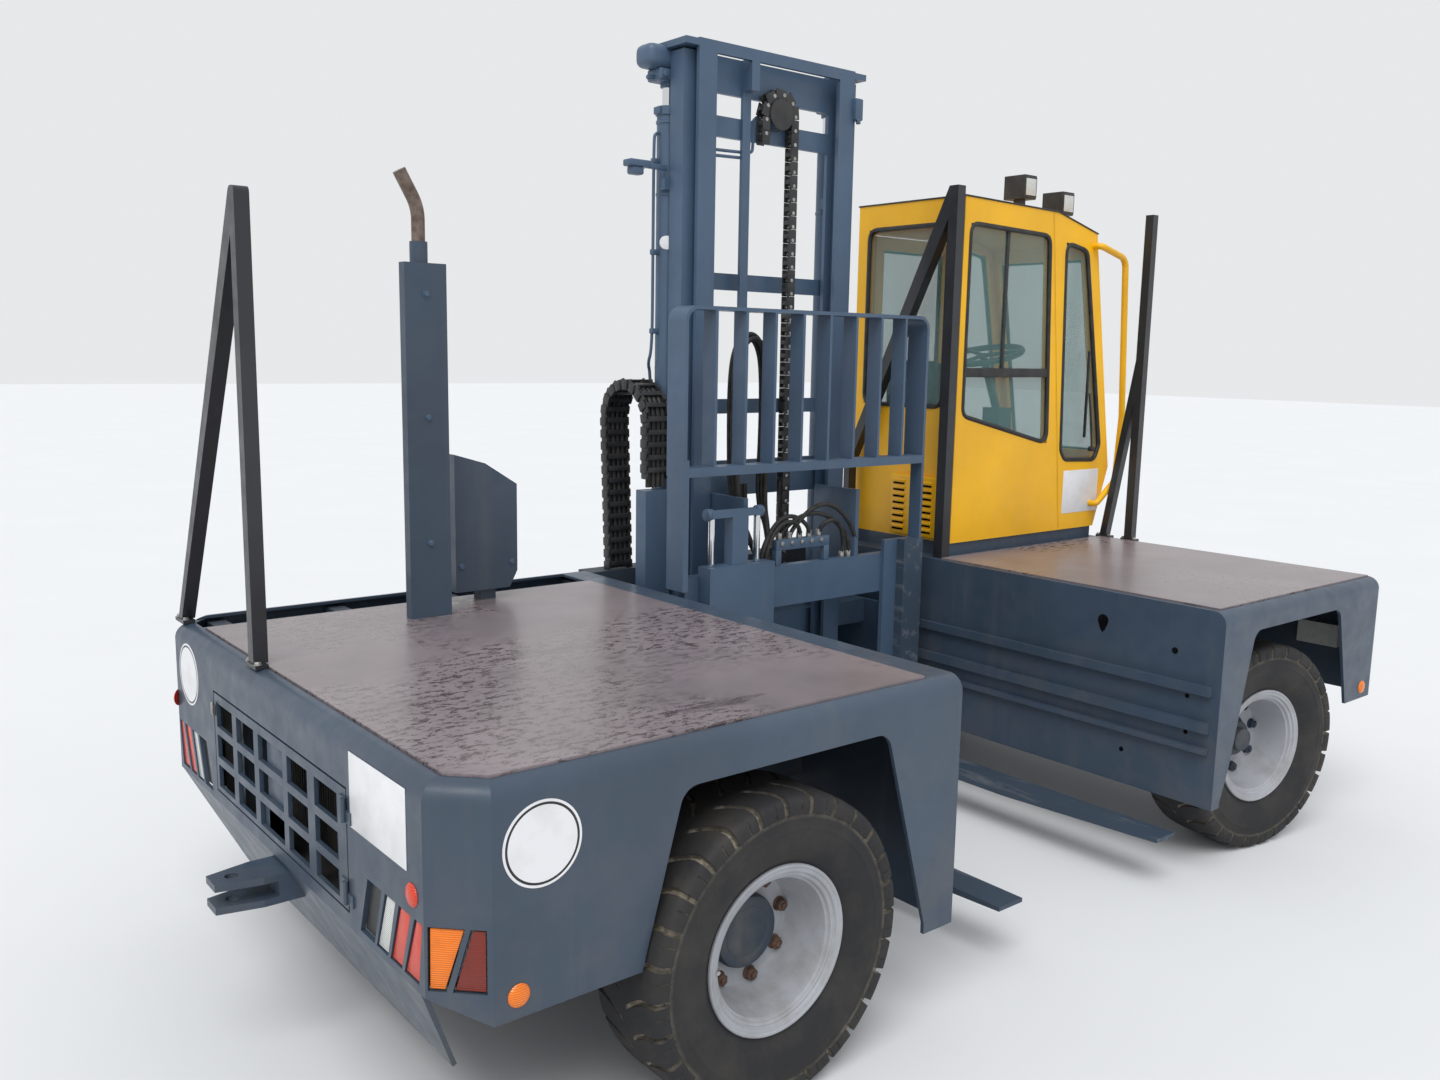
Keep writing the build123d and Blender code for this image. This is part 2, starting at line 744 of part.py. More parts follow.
# Guards that stand on the decks
half_bar = guard_bar / 2
half_brace = guard_brace / 2
rear_guard_set = 40
rear_guard_top_z = 2370
rear_guard_post_y = 218
rear_guard_foot_margin = 107
rear_foot_set = (16, 54)
rear_foot_half = 45
guard_top_roll = 18
with BuildPart() as rear_guard:
    rear_guard_x = rear_face_x + rear_guard_set
    rear_guard_foot_y = body_half_width - rear_guard_foot_margin
    foot_top_z = deck_z + foot_plate
    post_x = (rear_guard_x - half_bar, rear_guard_x + half_bar)
    post_y = (rear_guard_post_y - half_bar, rear_guard_post_y + half_bar)
    span_box(post_x, post_y, (foot_top_z, rear_guard_top_z))
    brace = [
        (rear_guard_foot_y - half_brace, foot_top_z),
        (rear_guard_foot_y + half_brace, foot_top_z),
        (rear_guard_post_y + half_bar, rear_guard_top_z),
        (rear_guard_post_y, rear_guard_top_z - brace_drop),
    ]
    cross_prism(brace, post_x)
    fillet(rear_guard.edges().filter_by(Axis.X).group_by(Axis.Z)[-1], guard_top_roll)
    rear_foot_x = (rear_face_x + rear_foot_set[0], rear_face_x + rear_foot_set[1])
    for y in (rear_guard_post_y, rear_guard_foot_y):
        span_box(rear_foot_x, (y - rear_foot_half, y + rear_foot_half), (deck_z, foot_top_z))

cab_guard_gap = 55
cab_guard_past_wall = 3
cab_guard_top_z = 2690
cab_guard_stub_margin = 46
cab_guard_stub_z = 1450
half_cab_bar = cab_guard_bar / 2
with BuildPart() as cab_guard:
    cab_guard_x = cab_rear_x - cab_guard_gap
    cab_guard_y = cab_right_y + cab_guard_past_wall
    post_x = (cab_guard_x - half_cab_bar, cab_guard_x + half_cab_bar)
    post_y = (cab_guard_y - half_cab_bar, cab_guard_y + half_cab_bar)
    span_box(post_x, post_y, (deck_z, cab_guard_top_z))
    stub_middle_y = body_half_width - cab_guard_stub_margin
    stub_y = (stub_middle_y - half_brace, stub_middle_y + half_brace)
    span_box(post_x, stub_y, (deck_z, cab_guard_stub_z))
    brace = [
        (cab_guard_y + half_cab_bar, cab_guard_top_z),
        (cab_guard_y, cab_guard_top_z - brace_drop),
        (stub_y[0], cab_guard_stub_z - half_cab_bar),
        (stub_y[1], cab_guard_stub_z),
    ]
    cross_prism(brace, post_x)

front_guard_set = 40
front_guard_y = 190
front_guard_top_z = 2650
front_guard_foot_y = 335
front_guard_joint_z = 1950
front_foot_margin = 20
front_foot_half = 40
with BuildPart() as front_guard:
    front_guard_x = front_end_x - front_guard_set
    post_x = (front_guard_x - half_bar, front_guard_x + half_bar)
    front_foot_z = deck_z + foot_plate
    post_y = (front_guard_y - half_bar, front_guard_y + half_bar)
    span_box(post_x, post_y, (front_foot_z, front_guard_top_z))
    brace = [
        (front_guard_foot_y - half_brace, front_foot_z),
        (front_guard_foot_y + half_brace, front_foot_z),
        (front_guard_y + half_bar, front_guard_joint_z),
        (front_guard_y, front_guard_joint_z - brace_drop),
    ]
    cross_prism(brace, post_x)
    front_foot_x = (front_board_x[1], front_end_x - front_foot_margin)
    for y in (front_guard_y, front_guard_foot_y):
        span_box(front_foot_x, (y - front_foot_half, y + front_foot_half), (deck_z, front_foot_z))

# Exhaust: a flat post with the pipe behind it, and the air filter beside it
exhaust_before_axle = 285
exhaust_length = 147
exhaust_y = (505, 545)
exhaust_top_z = 2220
pipe_radius = 22
pipe_set = 76
pipe_lap = 8
pipe_rise = 180
pipe_lean = 62
pipe_bend = 150
pipe_end_rise = 290
sleeve_radius = 29
sleeve_reach = (60, 70)
with BuildPart() as exhaust:
    exhaust_x = rear_axle_x - exhaust_before_axle
    span_box((exhaust_x, exhaust_x + exhaust_length), exhaust_y, (board_top_z, exhaust_top_z))
    pipe_x = exhaust_x + pipe_set
    pipe_y = exhaust_y[1] + pipe_radius - pipe_lap
    pipe_route = [
        (pipe_x, pipe_y, board_top_z),
        (pipe_x, pipe_y, exhaust_top_z + pipe_rise),
        (pipe_x - pipe_lean, pipe_y, exhaust_top_z + pipe_end_rise),
    ]
    tube_along(pipe_route, pipe_bend, pipe_radius)
    sleeve_foot = (pipe_x, pipe_y, exhaust_top_z - sleeve_reach[0])
    sleeve_head = (pipe_x, pipe_y, exhaust_top_z + sleeve_reach[1])
    rod(sleeve_foot, sleeve_head, sleeve_radius)

filter_y = (650, 755)
filter_before_axle = 48
filter_length = 247
filter_rise = 40
filter_foot_cut = (32, 60)
filter_front_height = 418
filter_shoulder = (120, 498)
filter_back_height = 533
filter_peg_x = (110, 170)
filter_peg_inset = 25
with BuildPart() as air_filter:
    filter_x = rear_axle_x - filter_before_axle
    filter_front_x = filter_x + filter_length
    box = [
        (filter_x, board_top_z + filter_rise),
        (filter_front_x - filter_foot_cut[0], board_top_z + filter_rise),
        (filter_front_x, board_top_z + filter_rise + filter_foot_cut[1]),
        (filter_front_x, board_top_z + filter_front_height),
        (filter_x + filter_shoulder[0], board_top_z + filter_shoulder[1]),
        (filter_x, board_top_z + filter_back_height),
    ]
    side_prism(box, filter_y)
    peg_x = (filter_x + filter_peg_x[0], filter_x + filter_peg_x[1])
    peg_y = (filter_y[0] + filter_peg_inset, filter_y[1] - filter_peg_inset)
    span_box(peg_x, peg_y, (board_top_z, board_top_z + filter_rise))

# Cab shell, hollow, with its window and door openings
window_plane_y = (cab_right_y - overcut, cab_right_y + cab_wall + overcut)
left_wall_y = (cab_left_y - cab_wall - overcut, cab_left_y + overcut)
# The roof's walls slope, so their inner faces lie a little deeper than the wall
brow_deepening = 1.4
roof_deepening = 1.6


def cab_outline(inset):
    """Side outline of the cab in (X, Z), moved in by the wall thickness."""
    return [
        (cab_rear_x + inset, cab_floor_z + inset),
        (cab_front_low_x - inset, cab_floor_z + inset),
        (cab_front_mid_x - inset, cab_bulge_z),
        (cab_front_top_x - inset, cab_brow_z - brow_deepening * inset),
        (cab_seam_x, cab_roof_z - cab_seam_drop - roof_deepening * inset),
        (cab_rear_x + inset, cab_roof_z - roof_deepening * inset),
    ]


side_window = [(1110, 1685), (1110, 2540), (1692, 2525), (1755, 1538)]
corner_window = [(1870, 1500), (1822, 2505), (1998, 2475), (2200, 1520), (2165, 1442), (1905, 1452)]
window_frame = 70
rear_window_right_frame = 90
rear_window_y = (cab_right_y + rear_window_right_frame, cab_left_y - window_frame)
rear_window_z = (1720, 2540)
front_window_y = (cab_right_y + window_frame, cab_left_y - window_frame)
front_window_z = (1480, 2440)
front_window_reach = 170
door_set = 75
door_width = 580
door_sill = 60
door_top_z = 2530
door_x = (cab_rear_x + door_set, cab_rear_x + door_set + door_width)
door_z = (cab_floor_z + door_sill, door_top_z)
door_hinge_radius = 10
door_hinge = (door_x[1] - door_gap / 2, cab_left_y + door_hinge_radius + hinge_clearance)
door_hinge_z = (1300, 2300)
door_leaf_width = 45
door_leaf_y = (cab_left_y, cab_left_y + hinge_leaf)
with BuildPart() as cab_shell:
    side_prism(cab_outline(0), (cab_right_y, cab_left_y))
    side_prism(cab_outline(cab_wall), (cab_right_y + cab_wall, cab_left_y - cab_wall), Mode.SUBTRACT)
    side_prism(side_window, window_plane_y, Mode.SUBTRACT)
    side_prism(corner_window, window_plane_y, Mode.SUBTRACT)
    side_prism(corner_window, left_wall_y, Mode.SUBTRACT)
    rear_wall_span = (cab_rear_x - overcut, cab_rear_x + cab_wall + overcut)
    span_box(rear_wall_span, rear_window_y, rear_window_z, Mode.SUBTRACT)
    front_wall_span = (cab_front_top_x - front_window_reach, cab_front_mid_x + overcut)
    span_box(front_wall_span, front_window_y, front_window_z, Mode.SUBTRACT)
    span_box(door_x, left_wall_y, door_z, Mode.SUBTRACT)
    for z in door_hinge_z:
        leaf_x = (door_hinge[0] + hinge_clearance, door_hinge[0] + door_leaf_width)
        hinge_half(door_hinge, (leaf_x, door_leaf_y), (z - hinge_half_height, z), door_hinge_radius)

plinth_set_back = 10
plinth_left_set_back = 20
with BuildPart() as cab_plinth:
    plinth_x = (cab_rear_x, cab_front_low_x - plinth_set_back)
    plinth_y = (cab_right_y + plinth_set_back, cab_left_y - plinth_left_set_back)
    span_box(plinth_x, plinth_y, (deck_z, cab_floor_z))

# Window panes, each a plate set into its opening
glass_y = (cab_right_y + glass_set, cab_right_y + glass_set + glass_thickness)
left_glass_y = (cab_left_y - glass_set - glass_thickness, cab_left_y - glass_set)
windscreen_top = (cab_front_top_x, cab_brow_z)
windscreen_foot = (cab_front_mid_x, cab_bulge_z)
rake = (windscreen_top[0] - windscreen_foot[0]) / (windscreen_top[1] - windscreen_foot[1])


def windscreen_x(z, inset):
    """X of the raked screen plane at a height, moved in by inset."""
    return windscreen_foot[0] + rake * (z - windscreen_foot[1]) - inset


with BuildPart() as cab_glass:
    side_prism(side_window, glass_y)
    side_prism(corner_window, glass_y)
    side_prism(corner_window, left_glass_y)
    rear_glass_x = (cab_rear_x + glass_set, cab_rear_x + glass_set + glass_thickness)
    span_box(rear_glass_x, rear_window_y, rear_window_z)
    screen = [
        (windscreen_x(front_window_z[0], glass_set + glass_thickness), front_window_z[0]),
        (windscreen_x(front_window_z[0], glass_set), front_window_z[0]),
        (windscreen_x(front_window_z[1], glass_set), front_window_z[1]),
        (windscreen_x(front_window_z[1], glass_set + glass_thickness), front_window_z[1]),
    ]
    side_prism(screen, front_window_y)

# Door in the left wall, hinged at its front edge
door_frame = 55
door_window_z = (1500, door_top_z - window_frame)
with BuildPart() as cab_door:
    panel_x = (door_x[0] + door_gap, door_x[1] - door_gap)
    panel_y = (cab_left_y - cab_wall, cab_left_y)
    panel_z = (door_z[0] + door_gap, door_z[1] - door_gap)
    span_box(panel_x, panel_y, panel_z)
    pane_x = (panel_x[0] + door_frame, panel_x[1] - door_frame)
    span_box(pane_x, left_wall_y, door_window_z, Mode.SUBTRACT)
    for z in door_hinge_z:
        leaf_x = (door_hinge[0] - door_leaf_width, door_hinge[0] - hinge_clearance)
        barrel_z = (z + running_gap, z + hinge_half_height)
        hinge_half(door_hinge, (leaf_x, door_leaf_y), barrel_z, door_hinge_radius)
with BuildPart() as cab_door_glass:
    span_box(pane_x, left_glass_y, door_window_z)

# Seat, steering wheel and console on the cab floor
inner_floor_z = cab_floor_z + cab_wall
seat_behind = 175
seat_length = 320
seat_width = 320
seat_left_gap = 151
seat_foot_height = 180
seat_cushion_height = 120
seat_foot_inset = (20, 40)
seat_back_height = 510
seat_back_low = (-90, 5)
seat_back_high = (-110, -30)
seat_back_lap = 20
with BuildPart() as driver_seat:
    seat_x = cab_rear_x + seat_behind
    seat_left_y = cab_left_y - seat_left_gap
    seat_y = (seat_left_y - seat_width, seat_left_y)
    seat_under_z = inner_floor_z + seat_foot_height
    seat_top_z = seat_under_z + seat_cushion_height
    span_box((seat_x, seat_x + seat_length), seat_y, (seat_under_z, seat_top_z))
    seat_back = [
        (seat_x + seat_back_low[0], seat_top_z - seat_back_lap),
        (seat_x + seat_back_low[1], seat_top_z - seat_back_lap),
        (seat_x + seat_back_high[1], seat_top_z + seat_back_height),
        (seat_x + seat_back_high[0], seat_top_z + seat_back_height),
    ]
    side_prism(seat_back, seat_y)
    foot_x = (seat_x + seat_foot_inset[0], seat_x + seat_length - seat_foot_inset[1])
    foot_y = (seat_y[0] + seat_foot_inset[1], seat_y[1] - seat_foot_inset[1])
    span_box(foot_x, foot_y, (inner_floor_z, seat_under_z))

wheel_tilt_deg = 14
wheel_behind_seam = 125
wheel_side_set = 30
wheel_height = 820
steering_wheel_radius = 190
steering_rim_radius = 15
steering_spoke_radius = 10
steering_shaft_radius = 20
steering_shaft_length = 330
steering_shaft_lean = 70
console_half_width = 50
console_height = 560
console_foot_x = (-25, 95)
console_top_x = (-45, 55)
with BuildPart() as steering_column:
    wheel_y = (seat_y[0] + seat_y[1]) / 2 - wheel_side_set
    console = [
        (cab_seam_x + console_foot_x[0], inner_floor_z),
        (cab_seam_x + console_foot_x[1], inner_floor_z),
        (cab_seam_x + console_top_x[1], inner_floor_z + console_height),
        (cab_seam_x + console_top_x[0], inner_floor_z + console_height),
    ]
    side_prism(console, (wheel_y - console_half_width, wheel_y + console_half_width))
    wheel_tilt = math.radians(wheel_tilt_deg)
    wheel_axis = Vector(-math.sin(wheel_tilt), 0, math.cos(wheel_tilt))
    centre = Vector(cab_seam_x - wheel_behind_seam, wheel_y, inner_floor_z + wheel_height)
    shaft_foot = centre - wheel_axis * steering_shaft_length + Vector(steering_shaft_lean, 0, 0)
    rod(shaft_foot, centre, steering_shaft_radius)
    with Locations(Plane(centre, x_dir=(0, 1, 0), z_dir=wheel_axis)):
        Torus(steering_wheel_radius, steering_rim_radius)
    for deg in (90, 210, 330):
        spoke = Vector(0, 1, 0).rotate(Axis((0, 0, 0), wheel_axis), deg)
        rod(centre, centre + spoke * steering_wheel_radius, steering_spoke_radius)

# Work lamps on the roof: one before the seam, one before the brow, on stands cut to the roof
work_lamp_x = (cab_seam_x - 90, cab_front_top_x - 110)
work_lamp_z = (cab_seam_drop + cab_roof_z + 30, cab_brow_z + 90)
work_lamp_y = cab_right_y + 165
work_lamp_stand_half = 20
work_lamp_stand_height = 130
work_lamp_half = (45, 60)
work_lamp_height = 110
with BuildPart() as work_lamps:
    for x, z in zip(work_lamp_x, work_lamp_z):
        stand_x = (x - work_lamp_stand_half, x + work_lamp_stand_half)
        stand_y = (work_lamp_y - work_lamp_stand_half, work_lamp_y + work_lamp_stand_half)
        span_box(stand_x, stand_y, (z - work_lamp_stand_height, z))
        lamp_x = (x - work_lamp_half[0], x + work_lamp_half[0])
        lamp_y = (work_lamp_y - work_lamp_half[1], work_lamp_y + work_lamp_half[1])
        span_box(lamp_x, lamp_y, (z, z + work_lamp_height))
    side_prism(cab_outline(0), (cab_right_y, cab_left_y), Mode.SUBTRACT)

# Grab handle at the front right corner of the cab
handle_radius = 16
handle_stand_off = 40
handle_end_bend = 18
handle_bend = 60
handle_top_set = (20, 60)
handle_shoulder_set = (60, 110)
handle_knee_rise = 560
handle_heel_set = (25, 230)
handle_foot_set = (40, 120)
with BuildPart() as grab_handle:
    handle_x = front_end_x + handle_reach - handle_radius
    handle_y = cab_right_y - handle_stand_off
    top_x = cab_front_top_x - handle_top_set[0]
    top_z = cab_brow_z - handle_top_set[1]
    foot_x = cab_front_low_x - handle_foot_set[0]
    foot_z = cab_floor_z + handle_foot_set[1]
    handle_route = [
        (top_x, cab_right_y, top_z),
        (top_x, handle_y, top_z),
        (handle_x - handle_shoulder_set[0], handle_y, cab_brow_z - handle_shoulder_set[1]),
        (handle_x, handle_y, cab_floor_z + handle_knee_rise),
        (handle_x - handle_heel_set[0], handle_y, cab_floor_z + handle_heel_set[1]),
        (foot_x, handle_y, foot_z),
        (foot_x, cab_right_y, foot_z),
    ]
    bends = (handle_end_bend, handle_bend, handle_bend, handle_bend, handle_end_bend)
    tube_along(handle_route, bends, handle_radius)

# Hose chain: an upright loop from the girder to the slide, in (Y, Z)
chain_x = (-440, -320)
chain_band = 45
chain_turn_radius = 145
chain_lean = 86
chain_top_z = 1838
chain_foot_set = 4
chain_post_top_z = 1400
chain_post_gap = 6
chain_top_y = girder_inner_y - chain_lean
chain_near_y = chain_top_y - chain_turn_radius
chain_foot_y = (girder_inner_y + chain_foot_set, girder_inner_y + chain_foot_set + chain_band)
loop_outer = chain_turn_radius + chain_band / 2
loop_inner = loop_outer - chain_band
loop_z = chain_top_z - loop_outer
with BuildPart() as hose_chain:
    chain_end_z = chain_post_top_z + chain_post_gap
    with BuildSketch(Plane((chain_x[0], 0, 0), x_dir=(0, 1, 0), z_dir=(1, 0, 0))):
        with BuildLine():
            Line((chain_top_y - loop_inner, chain_end_z), (chain_top_y - loop_outer, chain_end_z))
            Line((chain_top_y - loop_outer, chain_end_z), (chain_top_y - loop_outer, loop_z))
            ThreePointArc(
                (chain_top_y - loop_outer, loop_z),
                (chain_top_y, chain_top_z),
                (chain_top_y + loop_outer, loop_z),
            )
            Line((chain_top_y + loop_outer, loop_z), (chain_foot_y[1], deck_z))
            Line((chain_foot_y[1], deck_z), (chain_foot_y[0], deck_z))
            Line((chain_foot_y[0], deck_z), (chain_top_y + loop_inner, loop_z))
            ThreePointArc(
                (chain_top_y + loop_inner, loop_z),
                (chain_top_y, chain_top_z - chain_band),
                (chain_top_y - loop_inner, loop_z),
            )
            Line((chain_top_y - loop_inner, loop_z), (chain_top_y - loop_inner, chain_end_z))
        make_face()
    extrude(amount=chain_x[1] - chain_x[0])

# Mast slide: a frame on rollers between the rails, with the chain post
slide_x = (well_rear_x + rail_reach + slide_gap, well_front_x - rail_reach - slide_gap)
slide_y = (mast_y - slide_front_reach, slide_rear_y)
slide_cheek = 20
slide_cheek_z = (mast_foot_z, 800)
slide_beam_height = 110
roller_z = (lower_rail_z[1] + upper_rail_z[0]) / 2
roller_radius = (upper_rail_z[0] - lower_rail_z[1]) / 2 - running_gap
roller_inset = 60
roller_gap = 5
post_foot_drop = 60
slide_beam_y = (outer_y[1], slide_y[1])
low_beam_z = (mast_foot_z, mast_foot_z + slide_beam_height)
high_beam_z = (slide_cheek_z[1] - slide_beam_height, slide_cheek_z[1])
with BuildPart() as mast_slide:
    for low in (slide_x[0], slide_x[1] - slide_cheek):
        span_box((low, low + slide_cheek), slide_y, slide_cheek_z)
    for beam_z in (low_beam_z, high_beam_z):
        span_box(slide_x, slide_beam_y, beam_z)
    for y in (slide_y[0] + roller_inset, slide_y[1] - roller_inset):
        rod((well_rear_x + roller_gap, y, roller_z), (slide_x[0], y, roller_z), roller_radius)
        rod((slide_x[1], y, roller_z), (well_front_x - roller_gap, y, roller_z), roller_radius)
    post_y = (chain_near_y - chain_band / 2, chain_near_y + chain_band)
    post_foot_z = slide_cheek_z[1] - post_foot_drop
    span_box(chain_x, post_y, (post_foot_z, chain_post_top_z))
    span_box(chain_x, (post_y[0], slide_y[1]), (post_foot_z, slide_cheek_z[1]))

# Outer mast: two channels that open inward, tied at the back, and lift tubes
outer_top_z = mast_top_z - outer_drop
tie_reach = outer_half_width - channel_plate
top_tie_height = 60
outer_ties_z = (low_beam_z, (1350, 1500), (2205, 2272), (outer_top_z - top_tie_height, outer_top_z))
lift_inset = 28
lift_set = outer_half_width - lift_inset
lift_foot_z = slide_cheek_z[1]
lift_bore_foot = 30
# Wear pads: one at the outer mast's top, one at the inner mast's foot
pad_depth = 50
pad_height = 100
top_pad_z = (outer_top_z - pad_height, outer_top_z)
clamp_relief = 18
clamp_height = 45
clamp_side = 6
clamp_foot_z = (1060, 1640, 2580)
clamp_half = lift_tube_radius + clamp_side
with BuildPart() as mast_outer:
    for side in (-1, 1):
        edge = mast_middle_x + side * outer_half_width
        web_x = (edge, edge - side * channel_plate)
        flange_x = (edge, edge - side * channel_width)
        span_box(web_x, outer_y, (mast_foot_z, outer_top_z))
        span_box(flange_x, (outer_y[0], outer_y[0] + channel_plate), (mast_foot_z, outer_top_z))
        span_box(flange_x, (outer_y[1] - channel_plate, outer_y[1]), (mast_foot_z, outer_top_z))
        pad_x = (mast_middle_x + side * tie_reach, mast_middle_x + side * (inner_half_width + running_gap))
        span_box(pad_x, (outer_y[1] - channel_plate - pad_depth, outer_y[1] - channel_plate), top_pad_z)
        lift_x = mast_middle_x + side * lift_set
        clamp_x = (lift_x - clamp_half, lift_x + clamp_half)
        for clamp_z in clamp_foot_z:
            span_box(clamp_x, (outer_y[1], lift_y - clamp_relief), (clamp_z, clamp_z + clamp_height))
        rod((lift_x, lift_y, lift_foot_z), (lift_x, lift_y, lift_tube_top_z), lift_tube_radius)
        bore_foot = (lift_x, lift_y, lift_foot_z + lift_bore_foot)
        rod(bore_foot, (lift_x, lift_y, lift_tube_top_z + overcut), lift_bore, Mode.SUBTRACT)
    for tie_z in outer_ties_z:
        tie_x = (mast_middle_x - tie_reach, mast_middle_x + tie_reach)
        span_box(tie_x, (outer_y[1] - channel_plate, outer_y[1]), tie_z)

# Inner mast: a frame whose rear flanges run inside the outer channels
mast_clearance = 10
inner_bottom_z = mast_foot_z + slide_beam_height + mast_clearance
flange_gap = 22
inner_y = (mast_y, outer_y[1] - channel_plate - flange_gap)
rear_flange_y = (inner_y[1] - channel_plate, inner_y[1])
front_flange_y = (inner_y[0], inner_y[0] + channel_plate)
inner_web_x = outer_half_width - channel_width - nest_gap
head_z = (2965, 3105)
inner_bars_z = (head_z, (2800, 2880), (1700, 1760))
middle_bar_x = (20, 62)
lift_head_half = 48
lift_head_height = 90
lift_head_drop = 5
lift_head_gap = 6
crown_height = 45
middle_bar_thickness = 15
rod_head_y = (outer_y[1] + lift_head_gap, lift_y + lift_head_half)
rod_head_top_z = mast_top_z - lift_head_drop
rod_head_z = (rod_head_top_z - lift_head_height, rod_head_top_z)
with BuildPart() as mast_inner:
    for side in (-1, 1):
        web_edge = mast_middle_x + side * inner_web_x
        web_x = (web_edge, web_edge - side * inner_web)
        flange_x = (mast_middle_x + side * inner_half_width, web_edge - side * inner_flange_reach)
        span_box(web_x, inner_y, (inner_bottom_z, mast_top_z))
        span_box(flange_x, front_flange_y, (inner_bottom_z, mast_top_z))
        span_box(flange_x, rear_flange_y, (inner_bottom_z, mast_top_z))
        pad_x = (mast_middle_x + side * inner_half_width, mast_middle_x + side * (tie_reach - running_gap))
        span_box(pad_x, rear_flange_y, (inner_bottom_z, inner_bottom_z + pad_height))
        # Head that the lift rod pushes, reaching over the outer mast
        lift_x = mast_middle_x + side * lift_set
        lift_head_x = (lift_x - lift_head_half, lift_x + lift_head_half)
        span_box(lift_head_x, rod_head_y, rod_head_z)
        over_outer_z = (outer_top_z + mast_clearance, rod_head_z[1])
        span_box(lift_head_x, (inner_y[0], rod_head_y[1]), over_outer_z)
    cross_x = (mast_middle_x - inner_web_x, mast_middle_x + inner_web_x)
    crown_z = mast_top_z - crown_height
    span_box(cross_x, front_flange_y, (crown_z, mast_top_z))
    for bar_z in inner_bars_z:
        span_box(cross_x, rear_flange_y, bar_z)
    middle_foot_z = head_z[0] + 20
    middle_bar_y = (rear_flange_y[0] - middle_bar_thickness, rear_flange_y[0])
    span_box(middle_bar_x, front_flange_y, (middle_foot_z, crown_z))
    span_box(middle_bar_x, (front_flange_y[1], rear_flange_y[0]), (middle_foot_z, head_z[1]))
    span_box(middle_bar_x, middle_bar_y, (inner_bars_z[2][0], head_z[1]))

rod_foot_rise = 60
rod_foot_z = lift_foot_z + rod_foot_rise
with BuildPart() as lift_rods:
    for side in (-1, 1):
        lift_x = mast_middle_x + side * lift_set
        rod((lift_x, lift_y, rod_foot_z), (lift_x, lift_y, rod_head_z[0]), lift_rod_radius)

# Hoses of the mast: a flat bundle over a pulley below the mast head
pulley_x = 200
pulley_z = 2915
pulley_radius = 58
bundle_thickness = 42
bundle_set = 21
bundle_width = 42
bundle_y = (inner_y[0] + bundle_set, inner_y[0] + bundle_set + bundle_width)
bundle_foot_z = 1300
bundle_tail_z = 2760
with BuildPart() as mast_hoses:
    outer_r = pulley_radius + bundle_thickness
    with BuildSketch(Plane((0, bundle_y[1], 0), x_dir=(1, 0, 0), z_dir=(0, -1, 0))):
        with Locations((pulley_x, pulley_z)):
            Circle(outer_r)
        strands = ((pulley_x - outer_r, bundle_tail_z), (pulley_x + pulley_radius, bundle_foot_z))
        for low_x, foot_z in strands:
            with Locations((low_x + bundle_thickness / 2, (foot_z + pulley_z) / 2)):
                Rectangle(bundle_thickness, pulley_z - foot_z)
        with Locations((pulley_x, pulley_z)):
            Circle(pulley_radius - skin_gap, mode=Mode.SUBTRACT)
        with Locations((pulley_x, (bundle_foot_z + pulley_z) / 2)):
            Rectangle(2 * (pulley_radius - skin_gap), pulley_z - bundle_foot_z, mode=Mode.SUBTRACT)
    extrude(amount=bundle_y[1] - bundle_y[0])
with BuildPart() as mast_pulley:
    pulley_back = (pulley_x, rear_flange_y[0], pulley_z)
    rod((pulley_x, bundle_y[0], pulley_z), pulley_back, pulley_radius - 2 * skin_gap)

# Forks: blades with tapered tips and shanks
blade_z = (fork_top_z - fork_thickness, fork_top_z)
block_z = (850, 1130)
shank_tops = {fork_rear_x: block_z[0], fork_front_x: fork_shank_top_z}
with BuildPart() as forks:
    for middle, top_z in shank_tops.items():
        blade = [
            (fork_face_y + fork_thickness, blade_z[0]),
            (fork_face_y - fork_length + fork_taper, blade_z[0]),
            (fork_face_y - fork_length, blade_z[1] - fork_tip_thickness),
            (fork_face_y - fork_length, blade_z[1]),
            (fork_face_y, blade_z[1]),
            (fork_face_y, top_z),
            (fork_face_y + fork_thickness, top_z),
        ]
        cross_prism(blade, (middle - fork_width / 2, middle + fork_width / 2))

# Fork carriage: a beam, cheeks inside the inner mast and the fork hanger
hanger_plate = 20
hanger_x = (645, 865)
hanger_z = (620, 1150)
hanger_y = (fork_face_y + fork_thickness, fork_face_y + fork_thickness + hanger_plate)
beam_y = (hanger_y[1], hanger_y[1] + carriage_plate)
beam_span = (-440, 845)
cheek_x = inner_web_x - inner_flange_reach - nest_gap
cheek_plate = 20
cheek_end_gap = 28
cheek_y = (beam_y[0], inner_y[1] - cheek_end_gap)
carriage_roller_z = (980, 1320)
carriage_roller_y = (front_flange_y[1] + rear_flange_y[0]) / 2
carriage_roller_radius = 19
roller_reach = inner_web_x - inner_web - running_gap
with BuildPart() as fork_carriage:
    for side in (-1, 1):
        edge = mast_middle_x + side * cheek_x
        span_box((edge, edge - side * cheek_plate), cheek_y, (beam_low_z[0], cheek_top_z))
        for z in carriage_roller_z:
            roller_end = (mast_middle_x + side * roller_reach, carriage_roller_y, z)
            rod((edge, carriage_roller_y, z), roller_end, carriage_roller_radius)
    span_box(beam_span, beam_y, beam_low_z)
    span_box(hanger_x, hanger_y, hanger_z)

